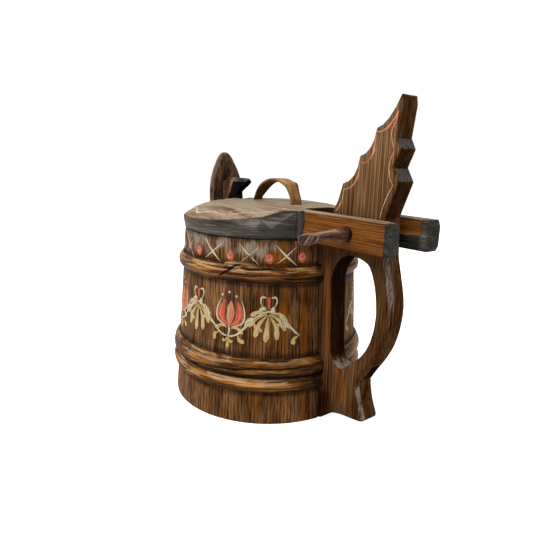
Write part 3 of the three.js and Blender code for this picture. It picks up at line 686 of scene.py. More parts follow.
def make_hoop(node, name, seed, shade, material):
    """A split sapling: rounder than its solid, with long splits, hollows, a rubbed top that is
    partly painted light, a painted highlight along its crown, and painted shade under it and by the
    handle board.
    """
    middle, width = HOOP_BANDS[node]
    piece = close_meshed(node, name, step=0.8, rubbing=1, crisp=True)
    points, normals = read_points(piece)
    points = trued(points)
    around = np.arctan2(points[:, 1], points[:, 0])
    turn = np.degrees(around)
    away = abs(turn)

    # The lap's tongue stands above the hoop only for a short way, and slopes down at both ends
    top = middle + width / 2 + 0.4
    ramp = smoothstep(-67, -58, turn) * smoothstep(-35, -44, turn)
    z = points[:, 2]
    points[:, 2] = np.where(z > top, top + (z - top) * (0.05 + 0.95 * ramp), z)

    z = points[:, 2]
    radius = np.hypot(points[:, 0], points[:, 1])
    proud = radius - wall_radius(z)
    outward = smoothstep(0.5, 2.0, proud)
    off_middle = np.clip(abs(z - middle) / (width / 2), 0, 0.98)
    rounder = (1 - off_middle ** 2.1) ** 0.4
    outwards = np.column_stack([np.cos(around), np.sin(around), np.zeros_like(around)])
    points -= outwards * (proud * (1 - rounder) * outward)[:, None]

    run = np.column_stack([around * BASE_RADIUS, points[:, 2] - middle, radius * 0])
    strands = rough(run, (55.0, 3.2, 40.0), seed, 3)
    splits = rough(run, (95.0, 4.5, 40.0), seed + 21.0)
    bark = rough(run, (10.0, 4.0, 40.0), seed + 9.0, 3)
    swell = rough(run, (38.0, 60.0, 60.0), seed + 5.0, 1)
    crack = smoothstep(0.12, 0.0, abs(splits)) * outward
    crack *= smoothstep(0.1, 0.35, strands + 0.1 * swell)
    named = split_depth(node, turn, points[:, 2])
    sink = 0.55 + 0.2 * bark + 0.42 * strands + 0.5 * swell + 0.8 * crack + named
    sink = np.clip(sink, 0, 2.4) * outward * (0.25 + 0.75 * smoothstep(9, 20, away))
    write_points(piece, points - normals * sink[:, None])

    points, normals = read_points(piece)
    x, y, z = points.T
    radius = np.hypot(x, y)
    up = normals[:, 2]
    by_handle = smoothstep(36, 18, away)
    far_left = smoothstep(85, 112, away)
    # A painted highlight along the hoop's crown
    crown_highlight = hill(up, 0.4, 0.17) * (0.8 + 0.9 * rough(run, (60.0, 12.0, 40.0), seed + 12.0, 3))
    crown_highlight *= (1 - 1.5 * shade - 0.5 * smoothstep(34, 18, away) - 0.5 * smoothstep(85, 110, away))
    scraped = smoothstep(-0.15, 0.2, rough(run, (24.0, 7.0, 40.0), seed + 30.0, 3))
    scraped *= smoothstep(0.3, 0.7, up)
    tongue = smoothstep(top - 0.6, top + 0.4, z) * ramp
    # Painted shade where the hoop sits against the wall
    shade_at_seat = (1 - smoothstep(0.3, 1.4, radius - wall_radius(z))) * (1 - 0.7 * tongue)
    hollow = smoothstep(0.1, 0.6, strands)
    grain = np.column_stack([np.arctan2(y, x) * BASE_RADIUS + 500 * seed, z - middle + 40 * seed,
                             radius])
    # Painted shade on the lower faces and by the handle board; the rubbed top is partly painted
    # light
    weather(piece, grain, edge=(0.45, 1.5), top=0.3 - shade,
            wear=0.7 * np.clip(crown_highlight, 0, 1) + (0.62 + 0.35 * bark) * scraped + 0.6 * tongue,
            dirt=0.9 * crack + 0.55 * named + 0.6 * shade_at_seat + 0.25 * hollow
            + 0.75 * smoothstep(0.15, 0.8, -up) + 0.4 * smoothstep(14, 8, away)
            + (0.28 + 0.5 * bark) * by_handle + (0.2 + 0.4 * bark) * far_left
            + (1.2 + 1.6 * bark) * shade,
            tone=0.4 * swell + 0.15 * scraped - 0.12 * smoothstep(0.1, -0.5, up) - 0.4 * shade,
            glow=0.35 * scraped + 0.5 * swell - 0.25)
    dress(piece, material, "vessel", "hoop_wood", node)


def make_bottom_board(material):
    piece = close_meshed("bottom_board", "floor_board", step=1.6, rubbing=2)
    points, normals = read_points(piece)
    planed(piece, trued(points), normals, depth=0.12, period=(60, 9, 9), seed=2.0)
    weather(piece, read_points(piece)[0], top=0.1)
    dress(piece, material, "vessel", "raw_pine", "bottom_board")


# Handle board and latch stave

HANDLE_FOOT_TOP = 49
HOLE_LOW = 55
HOLE_HIGH = 159
HOLE_FRONT_X = 96
HOLE_MIDDLE_X = 128
COMB_BACK_X = HINGE_X + 10


def make_handle(material):
    """The handle board: planed faces, sawn curves, a finger hole dark with painted shade, a rubbed
    grip and foot with a painted sheen on their arrises.
    """
    piece = close_meshed("handle_stave", "handle_board", step=0.75, rubbing=0, crisp=True)
    points, normals = read_points(piece)
    x, z = points[:, 0], points[:, 2]
    pairs = edge_pairs(piece)
    sawn = (abs(normals[:, 1]) < 0.35) & (z < 176)
    write_points(piece, eased_outline(points, pairs, sawn, (z < 172) & (x > 94)))

    points, normals = read_points(piece)
    x, y, z = points.T
    forward, sideways, up = normals.T
    flat = abs(sideways)
    planed(piece, points, normals, depth=0.1, period=(16, 10, 34), seed=4.0)

    # Where the board's edge is
    edgewise = smoothstep(0.3, 0.7, 1 - flat)
    in_hole = edgewise * (z > HOLE_LOW) * (z < HOLE_HIGH) * (x > HOLE_FRONT_X) * (x < HINGE_X + 14)
    in_hole *= (forward * (x - HOLE_MIDDLE_X) < 0) | (abs(up) > 0.5)
    # Painted shade on the finger hole's sides and roof; its floor is rubbed and has a painted sheen
    hole_floor_wear_and_sheen = in_hole * smoothstep(0.2, 0.75, up)
    shaded_hole_sides = in_hole * (1 - hole_floor_wear_and_sheen)
    behind = smoothstep(0.4, 0.8, forward) * (1 - in_hole) * (x > 130) * edgewise
    grip_rear = behind * (z > 52) * (z < 170)
    comb_rear = edgewise * (x > COMB_BACK_X)
    # Rear tooth tops are rubbed grey with a painted sheen; tooth undersides, down-facing faces and
    # the board by the wall get painted shade
    tooth_top_wear_and_sheen = smoothstep(0.25, 0.4, up) * comb_rear * (z > 195)
    shaded_tooth_under = smoothstep(0.1, 0.3, -up) * comb_rear * (z > 192)
    shaded_underside = smoothstep(0.2, 0.7, -up) * (z < 192) * (0.2 + 0.4 * (z < 30))
    shade_by_wall = (1 - smoothstep(1.0, 5.0, x - wall_radius(z))) * (z < RIM_HEIGHT)

    # Where the board's faces and its arrises are, and the painted sheen on the arrises
    comb = smoothstep(186, 196, z) * flat
    arris = hill(abs(forward), 0.7, 0.25) * hill(flat, 0.7, 0.25) * (x > HOLE_MIDDLE_X)
    by_edge = neighbour_mean(edgewise, pairs, 5) * flat
    sheen = np.clip(1.3 * neighbour_mean(arris, pairs, 4), 0, 1)
    sheen *= smoothstep(104, 140, z) * smoothstep(170, 162, z)
    # A painted sheen along the foot's arris
    foot_edge_sheen = np.clip(2.4 * neighbour_mean(arris, pairs, 9), 0, 1) * (z < HANDLE_FOOT_TOP)
    foot_edge_sheen *= 0.68 + 0.5 * rough(points, (6, 6, 6), 13.0)
    strip = hill(x, 97 + 0.05 * (122 - z), 4.5) * smoothstep(52, 70, z) * smoothstep(160, 140, z)
    ember = hill(x, 119 + 0.35 * (45 - z), 6) * smoothstep(22, 34, z) * smoothstep(66, 54, z)
    dark_toe = smoothstep(112, 100, x) * smoothstep(40, 24, z) * flat

    weather(piece, np.column_stack([z, x + 0.55 * y, y]), edge=(0.5, 1.6), top=0.3,
            wear=0.8 * tooth_top_wear_and_sheen + hole_floor_wear_and_sheen * (0.5 + 0.7 * rough(points, (7, 4, 7), 3.0, 3))
            + 0.66 * sheen + foot_edge_sheen,
            dirt=(0.68 + 0.25 * smoothstep(142, 152, z)) * shaded_hole_sides + 0.06 * grip_rear
            + 0.5 * shaded_tooth_under + shaded_underside + 0.5 * shade_by_wall + 0.55 * tooth_top_wear_and_sheen
            + 0.9 * by_edge * comb,
            tone=0.03 + 0.14 * comb - 0.09 * smoothstep(62, 40, z) + 0.03 * grip_rear - 0.1 * arris
            - 0.3 * dark_toe - 0.07 * edgewise * (z > 192) - 0.3 * shaded_hole_sides
            - 0.3 * (shaded_underside > 0.3) * (z < 192),
            glow=flat * (1.15 * strip + 1.2 * ember) + 0.35 * grip_rear - 0.4 - 0.5 * comb,
            rings=flat * (1 - by_edge) * (0.35 + 0.65 * smoothstep(160, 200, z)))
    dress(piece, material, "vessel", "handle_pine", "handle_stave")


PADDLE_FACE_X = -75.2
PADDLE_LEAN = -0.0975
NOSE_HALF = 9.8
NOSE_TOP = 212.8


def make_latch(material):
    """The latch stave: wall, leaning paddle and a sooty nose."""
    piece = close_meshed("latch_stave", "latch_board", step=0.75, rubbing=2, crisp=True)
    points, normals = read_points(piece)
    in_wall = points[:, 2] < RIM_HEIGHT - 2
    points = np.where(in_wall[:, None], trued(points), points)
    points -= normals * (0.18 * (1 + rough(points, (10, 12, 30), 6.0)))[:, None]

    # The nose's flare runs out into the paddle's face, and its top is bevelled
    x, y, z = points.T.copy()
    paddle_face = PADDLE_FACE_X + PADDLE_LEAN * (z - RIM_HEIGHT)
    on_nose = (x > paddle_face + 0.3) & (z > RIM_HEIGHT + 6) & (abs(y) < NOSE_HALF)
    flare = np.clip((abs(y) - 4.2) / 5, 0, 1) * on_nose
    flared_x = paddle_face + (x - paddle_face) * (1 - 0.93 * flare ** 1.6)
    points[:, 0] = np.where(on_nose, flared_x, x)
    points[:, 2] -= 7.0 * flare * smoothstep(196, NOSE_TOP, z)
    points[:, 1] *= 1 - 0.72 * np.clip((z - NOSE_TOP + 4.4) / 4.4, 0, 1) * on_nose * (1 - flare)
    write_points(piece, points)

    points, normals = read_points(piece)
    x, y, z = points.T
    above = smoothstep(RIM_HEIGHT + 5, RIM_HEIGHT + 25, z)
    in_wall = 1 - above
    ragged = 0.8 * rough(points, (5, 5, 5), 2.0)
    past_soot_line = x + ragged + 69.9 - (z - 188.6) * 0.38
    by_nose = (abs(y) < 12) * above
    nose = smoothstep(-1.0, 1.0, past_soot_line) * by_nose
    lit_edge = hill(past_soot_line, -1.4, 1.1) * by_nose
    rim = smoothstep(0.3, 0.6, abs(normals[:, 1])) * above * (x < -74)
    rim *= ~((abs(y) < 10.5) & (z < 214))
    rim = np.clip(1.25 * neighbour_mean(rim, edge_pairs(piece), 7), 0, 1)
    high = smoothstep(180, 206, z + 4 * ragged)
    blot = smoothstep(0.1, 0.45, rough(points, (14, 9, 10), 5.0, 3)) * above * (1 - nose)
    # The hoops' edges add soiling and painted shade on the wall part
    weather(piece, np.column_stack([z + 900, y + 31, x]), edge=(0.4, 1.4), top=0.4,
            wear=(0.3 + 0.28 * high) * rim + 0.55 * lit_edge,
            dirt=0.55 * blot * (1 - rim) + 0.75 * soil_and_shade_by_hoops(z) * (normals[:, 0] < -0.3),
            tone=0.15 * rim * (1 - high) + 0.02 * above + 0.05 * in_wall,
            glow=(1.5 * upright_columns(y, z, 43.0) + 0.25) * in_wall - 0.4, rings=1 - 0.8 * above)
    store(piece, "char", nose)
    store(piece, "ash", 0.08 + 0.55 * smoothstep(0.15, 0.6, normals[:, 2]))
    dress(piece, material, "vessel", "stave_pine", "latch_stave")


# Lid, strap and peg

# A knife cut at the lid's neck, by three of its points on the near side
NECK_CUT = ((64.5, -56.4, 183.9), (68.9, -50.9, 176.8), (78.6, -36.0, 190.6))
# Painted highlights on knife-cut facets in the soot by the neck: corners as turn and height, how
# much paler, how soft
FACET_HIGHLIGHTS = (
    (((43.0, 183.8), (37.0, 176.6), (22.0, 191.8)), 0.27, 0.5),
    (((60.0, 181.5), (42.5, 184.6), (45.5, 175.0)), 0.33, 2.6),
)


def in_triangle(corners, soft, turn, z):
    """Soft-edged share of each point inside a triangle drawn on the lid's side."""
    scale = np.array([math.radians(LID_RADIUS), 1.0])
    spots = np.column_stack([turn, z]) * scale
    corners = np.array(corners, float) * scale
    middle = corners.mean(0)
    inside = np.ones(len(spots))
    for a, b in zip(corners, np.roll(corners, -1, axis=0)):
        out = np.array([b[1] - a[1], a[0] - b[0]])
        out *= -np.sign(out @ (middle - a)) / np.linalg.norm(out)
        inside *= smoothstep(soft, -soft, (spots - a) @ out)
    return inside


def make_lid(material):
    """The lid: a rubbed top that is partly painted sheen, a sooty rim with knife cuts at the neck
    and painted highlights on the cuts, and the arms of the fork.
    """
    piece = close_meshed("lid_board", "lid_plank", step=0.96, rubbing=0, crisp=True)
    points, normals = read_points(piece)
    radius = np.hypot(points[:, 0], points[:, 1])
    turn = np.degrees(np.arctan2(points[:, 1], points[:, 0]))
    round_part = (radius > 80) & (abs(turn) > 26) & (points[:, 0] < 76)
    points = np.where(round_part[:, None], trued(points), points)
    for side in (1, -1):
        low, middle, high = (np.array(corner) * (1, side, 1) for corner in NECK_CUT)
        normal = np.cross(middle - low, high - low) * side
        normal *= np.sign(normal @ np.array([1.0, -side, 0.4]))
        points = shaved(points, low, normal, reach=24, heart=(low + middle + high) / 3)
    planed(piece, points, normals, depth=0.1, period=(26, 9, 12), seed=8.0)

    points, normals = read_points(piece)
    x, y, z = points.T
    upward = smoothstep(0.5, 0.8, normals[:, 2])
    sideways = 1 - upward
    on_arms = x > 86
    inner_face = (normals[:, 1] * y < 0) & (abs(y) < 22) & (x > 60)
    # The fork's slot, darkened with painted shade
    shade_in_slot = (abs(y) < FORK_GAP_HALF + 0.6) & (x > 64) & (x < 108) & (sideways > 0.4)

    # Soot on the disc's side, low on the arms' inner faces and at their tails
    ragged = 0.8 * rough(points, (6, 6, 2.0), 2.0)
    soft = 1.1 * rough(points, (9, 5, 3), 12.0)
    round_rim = sideways * (1 - smoothstep(85.5, 88.0, x + ragged)) * (abs(y) > 20)
    front = sideways * (x < 60)
    inner_soot = inner_face * smoothstep(183.5, 176.0, z + 1.5 * soft)
    singed = inner_face * smoothstep(ARM_END_X - 12, ARM_END_X - 7.5, x + 0.5 * soft)
    tail = smoothstep(ARM_END_X - 4.8, ARM_END_X - 4.0, x + 0.6 * ragged)
    sooty = (round_rim, front, inner_soot, singed, tail * (1 - 0.5 * upward))
    # Knife-cut facets paler as painted highlights; the soot paler towards the front, partly as a
    # painted sheen
    from_handle = abs(np.degrees(np.arctan2(y, x)))
    facet_highlight = sum(share * in_triangle(corners, width, from_handle, z)
                for corners, share, width in FACET_HIGHLIGHTS)
    facet_highlight *= 1 + 0.5 * rough(points, (5, 5, 2.2), 15.0, 3)
    ash = 0.5 + 0.14 * smoothstep(50, 0, x) + facet_highlight * sideways - 0.3 * inner_face * (1 - singed)
    ash += 0.04 * singed * (1 - tail) - 0.07 * tail - 0.06 * tail * (y > 0)

    disc_side = (radius > 78) & (x < 82) & (sideways > 0.5)
    round_grain = np.column_stack([np.radians(turn) * 85, z * 1.6, radius])
    grain = np.where(disc_side[:, None], round_grain, np.column_stack([x, y + 0.9 * z, z]))
    by_edge = neighbour_mean(upward, edge_pairs(piece), 6) * sideways
    # Painted shade on down-facing faces, in the slot, along the lid's lower edge and low on the
    # arms' sides
    weather(piece, grain, edge=(0.5, 1.6), top=0.75 + 0.42 * rough(points, (60, 7, 30), 4.0),
            tone=-0.7 * by_edge * (x > 84),
            dirt=0.8 * smoothstep(0.5, 0.9, -normals[:, 2]) + 0.85 * shade_in_slot
            + 0.6 * smoothstep(LID_UNDERSIDE + 2.4, LID_UNDERSIDE + 0.8, z) * (radius < 87)
            + 0.5 * smoothstep(LID_UNDERSIDE + 5, LID_UNDERSIDE + 1, z) * sideways * on_arms,
            glow=0.3 * sideways * on_arms - 0.3)
    store(piece, "char", np.clip(np.maximum.reduce(sooty), 0, 1))
    store(piece, "ash", ash)
    dress(piece, material, "lid", "lid_pine", "lid_board")


STRAP_HEART_X = 6
STRAP_HEART_Z = 184
STRAP_CORNER_X = 28.5


def make_strap(material, wedge_material):
    """The bent strap, dark on the inside of its bend, and the wedges in its mortises."""
    piece = close_meshed("lid_strap", "strap_grip", step=0.5, rubbing=3)
    points, normals = read_points(piece)
    x, y, z = points.T
    rear = smoothstep(20, 30, x) * smoothstep(LID_TOP, LID_TOP + 9, z)
    far = smoothstep(-5, 9, y)
    points[:, 0] += rear * (1.0 - 1.3 * far * hill(z, 203, 4.5))
    points[:, 2] += (0.9 + 1.3 * far) * hill(points[:, 0], STRAP_CORNER_X, 3.6) * rear
    points -= normals * (0.08 * (1 + rough(points, (20, 3, 20), 5.0)))[:, None]
    write_points(piece, points)

    x, y, z = points.T
    from_heart = np.column_stack([x - STRAP_HEART_X, np.zeros(len(x)), z - STRAP_HEART_Z])
    reach = np.linalg.norm(from_heart, axis=1)
    inner = smoothstep(0.35, 0.75, -(normals * from_heart).sum(1) / reach)
    foot = 1 - smoothstep(LID_TOP, LID_TOP + 2.5, z)
    front = smoothstep(17, 5, x + 2.5 * rough(points, 6.0, 2.0)) * (1 - inner)
    rim = smoothstep(6.4, 8.6, y) * (1 - inner) * smoothstep(0, 14, x)
    lean = np.arctan2(z - STRAP_HEART_Z, x - STRAP_HEART_X)
    weather(piece, np.column_stack([lean * 30, y, reach]), edge=(0.4, 1.6), top=0.1,
            corner=(0.2, 0.9), tone=-0.35 * rim - 0.2 * front,
            dirt=0.88 * inner + 0.5 * foot + 0.5 * front + 0.3 * rim)
    dress(piece, material, "lid", "strap_wood", "lid_strap")
    for end in ("front", "rear"):
        wedge = close_meshed(f"strap_wedge_{end}", f"wedge_{end}", step=0.4, rubbing=2)
        weather(wedge, read_points(wedge)[0][:, [2, 1, 0]])
        dress(wedge, wedge_material, "lid", "raw_pine", f"strap_wedge_{end}")


# Knife cuts on the peg's grip: a spot on each cut and the way it faces
PEG_CUTS = (
    ((140.2, -62.0, 180.0), (0.95, -0.30, 0.12)),
    ((136.3, -50.0, 184.3), (0.3, 0.03, 1.0)),
    ((136.3, -60.0, 183.6), (0.25, -0.02, 1.0)),
    ((132.4, -60.0, 180.0), (-0.97, -0.1, 0.2)),
)


def make_peg(material):
    """The whittled peg: knife-flat facets, a waist and an oblique cut tip."""
    piece = close_meshed("hinge_peg", "whittled_peg", step=0.45, rubbing=1)
    points, normals = read_points(piece)
    y = points[:, 1]
    grip = y < -FORK_OUTER - 1.5
    cut = points.copy()
    cut[:, 2] += 1.5 * hill(y, -56, 8) * np.clip(-normals[:, 2], 0, 1)
    cut[:, 2] -= 0.7 * hill(y, -64, 6) * np.clip(normals[:, 2], 0, 1)
    for spot, direction in PEG_CUTS:
        cut = shaved(cut, spot, direction, reach=30)
    points = np.where(grip[:, None], cut, points)
    planed(piece, points, normals, depth=0.06, period=(4, 18, 4), seed=5.0)

    points, normals = read_points(piece)
    x, y, z = points.T
    tip = smoothstep(-60, -64, y) * smoothstep(0.5, 0.8, normals[:, 0])
    # Painted shade at the root by the arm and on the side facing +x; a painted highlight along the
    # grip's top
    root = smoothstep(-38, -33.5, y) * (y > -36)
    pale = smoothstep(0.5, 0.85, normals[:, 2]) * smoothstep(-40, -44, y)
    side = smoothstep(0.3, 0.8, normals[:, 0]) * (1 - tip)
    end_grain = np.column_stack([z * 0.8 + y * 0.6, y * 0.8 - z * 0.6, x])
    grain = np.where(tip[:, None] > 0.5, end_grain, points[:, [1, 0, 2]])
    weather(piece, grain, edge=(0.6, 1.8), top=0.1, wear=0.85 * pale + 0.35 * tip,
            dirt=0.8 * root + 0.2 * side)
    dress(piece, material, "peg", "peg_wood", "hinge_peg")


# Brushwork


def curve_through(knots, spacing):
    """Evenly spaced points on a smooth curve through a few knots."""
    knots = np.array(knots, float)
    if len(knots) == 2:
        fine = knots[0] + np.linspace(0, 1, 40)[:, None] * (knots[1] - knots[0])
    else:
        ends = np.vstack([2 * knots[0] - knots[1], knots, 2 * knots[-1] - knots[-2]])
        t = np.linspace(0, 1, 24, endpoint=False)[:, None]
        fine = []
        for k in range(1, len(ends) - 2):
            a, b, c, d = ends[k - 1:k + 3]
            fine.append(0.5 * (2 * b + (c - a) * t + (2 * a - 5 * b + 4 * c - d) * t ** 2
                               + (3 * b - a - 3 * c + d) * t ** 3))
        fine = np.vstack([*fine, knots[-1:]])
    steps = np.concatenate([[0], np.cumsum(np.linalg.norm(np.diff(fine, axis=0), axis=1))])
    count = max(6, int(steps[-1] / spacing))
    at = np.linspace(0, steps[-1], count + 1)
    return np.column_stack([np.interp(at, steps, fine[:, 0]), np.interp(at, steps, fine[:, 1])])


def comma_width(t):
    """A round head and a long thin tail."""
    head = np.sqrt(np.clip(1 - ((0.22 - t) / 0.22) ** 2, 0.01, 1))
    tail = np.clip(1 - (t - 0.22) / 0.78, 0, 1) ** 0.8 * 0.94 + 0.06
    return np.where(t < 0.22, head, tail)


# Width of each kind of stroke along its length, as a share of its greatest
STROKE_SHAPES = {
    "line": lambda t: np.minimum(1, 6 * np.minimum(t + 0.02, 1.02 - t)) ** 0.6,
    "leaf": lambda t: np.sin(np.pi * np.clip(t, 0.015, 0.985)) ** 0.8,
    "comma": comma_width,
    "dot": lambda t: np.sqrt(np.clip(1 - (2 * t - 1) ** 2, 0.02, 1)),
}
STROKE_STEP = 0.8
# Section of a stroke: place across it, and height as a share of its thickness. Heights below 0 are
# in millimetres
STROKE_SECTION = ((-1, -0.35), (-1, 0.02), (-0.6, 1.0), (-0.1, 0.7), (0.45, 0.95), (1, 0.02),
                  (1, -0.35))


class Ground:
    """The surface that a brush runs on, reached from flat drawing coordinates."""

    def __init__(self, pieces, origin, aim):
        self.origin, self.aim = origin, aim
        points, polygons, start = [], [], 0
        for piece in pieces:
            points.append(read_points(piece)[0])
            polygons += [[start + v for v in polygon.vertices] for polygon in piece.data.polygons]
            start += len(points[-1])
        self.tree = BVHTree.FromPolygons(np.vstack(points).tolist(), polygons)

    def at(self, spot):
        """The surface point and its normal under a drawing coordinate, or None off the edge."""
        aim = Vector(self.aim(*spot))
        place, normal, _, _ = self.tree.ray_cast(Vector(self.origin(*spot)), aim)
        if place is None:
            return None
        return np.array(place), np.array(normal if normal.dot(aim) < 0 else -normal)


class Brushwork:
    """Strokes of thick paint on one ground, gathered into one piece."""

    def __init__(self, ground, seed):
        self.ground = ground
        self.random = np.random.default_rng(seed)
        self.points, self.faces, self.paints, self.grain = [], [], [], []
        self.count = 0

    def jitter(self, amount):
        return self.random.uniform(-amount, amount)

    def section(self, spot, beside, reaches, thick):
        """Points across a stroke at one place of it, or None where it leaves the ground."""
        section = []
        for (side, rise), reach in zip(STROKE_SECTION, reaches):
            found = self.ground.at(spot + beside * reach)
            if found is None:
                return None
            place, normal = found
            section.append(place + normal * (rise * thick if rise > 0 else rise))
        return np.array(section)

    def stroke(self, knots, width, pigment, shape="line", thick=0.16, ragged=0.14, wobble=0.0):
        """One stroke, with edges ragged by a share of its width and a wobble in millimetres."""
        path = curve_through(knots, STROKE_STEP)
        shift = self.random.uniform(0, 500)
        if wobble:
            level = path[:, :1] * 0 + shift
            off = [rough(np.column_stack([path, level + axis]), 9) for axis in (0, 50)]
            path = path + wobble * np.column_stack(off)
        along = np.gradient(path, axis=0)
        along /= np.maximum(np.linalg.norm(along, axis=1), 1e-9)[:, None]
        beside = np.column_stack([-along[:, 1], along[:, 0]])
        share = np.linspace(0, 1, len(path))
        half = width / 2 * STROKE_SHAPES[shape](share)
        walk = share * len(path) * STROKE_STEP + shift
        left, right = (1 + ragged * rough(np.column_stack([walk, walk * 0 + edge, walk * 0]), 2.6)
                       for edge in (3, 9))
        places = np.array([place for place, _ in STROKE_SECTION])
        reaches = places * half[:, None] * np.where(places < 0, left[:, None], right[:, None])
        thick *= sizes().paint_thickness
        sections = [self.section(*each, thick) for each in zip(path, beside, reaches)]
        kept = [k for k, section in enumerate(sections) if section is not None]
        if len(kept) < 4:
            return
        points, faces = swept([sections[k] for k in kept])
        self.faces += [[self.count + v for v in face] for face in faces]
        self.points.append(points)
        self.count += len(points)
        self.paints += [pigment] * len(faces)
        for k in kept:
            self.grain += [(walk[k], place * half[k] + 7 * shift, 0.0) for place in places]

    def finished(self, name, body):
        piece = solid_piece(name, np.vstack(self.points), self.faces, 60)
        store(piece, "grain", self.grain)
        for pigment in PIGMENTS:
            piece.data.materials.append(paint_material(pigment))
        piece.data.polygons.foreach_set("material_index", self.paints)
        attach(piece, body)


PIGMENTS = ("cream", "coral", "ochre", "rose")
CREAM, CORAL, OCHRE, ROSE = range(len(PIGMENTS))


def paint_material(pigment):
    """The paint of one colour, made on its first use."""
    name = f"{pigment.capitalize()} paint"
    known = bpy.data.materials.get(name)
    return known or paint(name, getattr(colours(), pigment), colours().stave_dark)


def wall_ground():
    def radial(s, z, reach):
        turn = math.radians(s / BRUSH_MM_PER_DEGREE)
        return (reach * math.cos(turn), reach * math.sin(turn), z)

    pieces = [o for o in bpy.context.scene.objects if o.name.startswith(("wall_", "latch_board"))]
    return Ground(pieces, lambda s, z: radial(s, z, 112), lambda s, z: radial(s, 0, -1))


def lid_ground():
    return Ground([bpy.data.objects["lid_plank"]], lambda x, y: (x, y, 230),
                  lambda x, y: (0, 0, -1))


def board_ground(side):
    return Ground([bpy.data.objects["handle_board"]], lambda x, z: (x, 40 * side, z),
                  lambda x, z: (0, -side, 0))


DOT_TURNS = (17.6, 37.1, 61.1, 85.8, 110.2, 134.6)
DOT_HEIGHT = 151.8


def rim_dot(work, at, z):
    """A coral dot with a rose ring and a cream one inside it."""
    work.stroke([(at - 4.0, z - 0.8), (at + 3.8, z + 0.6)], 8.8 + work.jitter(0.6), CORAL, "dot",
                0.22, 0.25)
    for start, radius, pigment in ((0.4, 2.7, ROSE), (2.6, 1.6, CREAM)):
        loop = [(at + radius * math.cos(start + a), z + radius * math.sin(start + a))
                for a in np.linspace(0, 4.4, 6)]
        work.stroke(loop, 0.8, pigment, "line", 0.4, 0.3)


def rim_cross(work, middle, worn):
    """Two crossed strokes, the second one thinner."""
    work.stroke([(middle - 10.5 + work.jitter(1), 163.5 + work.jitter(0.8)), (middle - 1, 154),
                 (middle + 9.5, 145)], 1.7 - worn, CREAM, "leaf", 0.18, 0.3, 0.25)
    work.stroke([(middle + 10 + work.jitter(1), 162.5 + work.jitter(1)), (middle + 1, 154.2),
                 (middle - 9.5, 146)], 1.1 - worn * 0.8, CREAM, "leaf", 0.14, 0.35, 0.25)


def paint_rim():
    """Crossed strokes and dots in turn, round under the rim."""
    work = Brushwork(wall_ground(), 11)
    for side in (-1, 1):
        for turn in DOT_TURNS:
            at = side * turn * BRUSH_MM_PER_DEGREE + work.jitter(0.6)
            rim_dot(work, at, DOT_HEIGHT + work.jitter(1.2))
        for k, (turn, after) in enumerate(zip(DOT_TURNS, DOT_TURNS[1:])):
            rim_cross(work, side * (turn + after) / 2 * BRUSH_MM_PER_DEGREE, 0.55 * (k % 2))
    work.finished("rim_crosses", "vessel")


def turned_knots(knots, at, degrees, scale=1.0, mirror=1):
    """Knots of a motif turned about its root, scaled and moved to a place on the ground."""
    a = math.radians(degrees)
    knots = np.array(knots, float) * scale * (mirror, 1)
    spun = np.column_stack([knots[:, 0] * math.cos(a) - knots[:, 1] * math.sin(a),
                            knots[:, 0] * math.sin(a) + knots[:, 1] * math.cos(a)])
    return spun + np.array(at)


TULIP_SCALE = 1.16
# Strokes of a tulip: knots, width, paint, shape, thickness and raggedness
TULIP_STEM = (((0, 0), (0.5, 4), (0, 9)), 1.5, CREAM, "line", 0.16, 0.2)
TULIP_SIDES = (
    (((0.5, 8), (6.8, 12.5), (7.8, 19.5), (5.2, 28)), 6.4 * TULIP_SCALE, CORAL, "leaf", 0.22, 0.1),
    (((2.8, 9.5), (7.8, 14), (8.0, 21), (6, 26)), 1.3, ROSE, "leaf", 0.36, 0.25),
    (((1.6, 7.2), (10.4, 11.5), (11.8, 19.5), (8.2, 30)), 1.6, CREAM, "leaf", 0.2, 0.3),
    (((12, 3.6), (6.5, 7.2), (1.2, 6.2)), 3.6, OCHRE, "comma", 0.2, 0.15),
    (((11.4, 4.8), (6.5, 8.2), (2.2, 7.2)), 0.9, CREAM, "comma", 0.34, 0.3),
    (((4.6, -3.0), (2.6, -4.5), (0, -0.8)), 2.4, OCHRE, "comma", 0.2, 0.15),
)
TULIP_MIDDLE = (
    (((0, -9.5), (0.3, -5), (0, -1.2)), 2.8, OCHRE, "comma", 0.2, 0.15),
    (((0, 8.5), (0, 17), (0, 27.5)), 6.8 * TULIP_SCALE, ROSE, "leaf", 0.28, 0.1),
    (((-1.2, 12), (-1.95, 18), (-0.9, 22.5)), 0.8, CREAM, "leaf", 0.38, 0.3),
    (((0.08, 12), (0.13, 18), (0.06, 23.9)), 0.8, CORAL, "leaf", 0.38, 0.3),
    (((1.28, 12), (2.08, 18), (0.96, 22.4)), 0.8, CORAL, "leaf", 0.38, 0.3),
)
FAN_SCALE = 1.1
# Leaves along the vine: place as a share of its wave, side of the vine, length
VINE_LEAVES = ((0.12, -1, 10), (0.2, 1, 13), (0.31, -1, 13), (0.38, 1, 9),
               (0.62, 1, 9), (0.69, -1, 13), (0.8, 1, 13), (0.88, -1, 10))
VINE_HEIGHT = 92
VINE_SWING = 12.5
VINE_WAVE = 47.0 * BRUSH_MM_PER_DEGREE
VINE_START = 19
VINE_HOME = 60.5


def tulip(work, at, lean):
    """Coral petals with cream edges over ochre leaves."""
    def draw(knots, side, *brush):
        work.stroke(turned_knots(np.array(knots, float) * (side, 1), at, lean, TULIP_SCALE), *brush)

    knots, *brush = TULIP_STEM
    draw(knots, 1, *brush)
    for side in (-1, 1):
        for knots, *brush in TULIP_SIDES:
            draw(knots, side, *brush)
    for knots, *brush in TULIP_MIDDLE:
        draw(knots, 1, *brush)


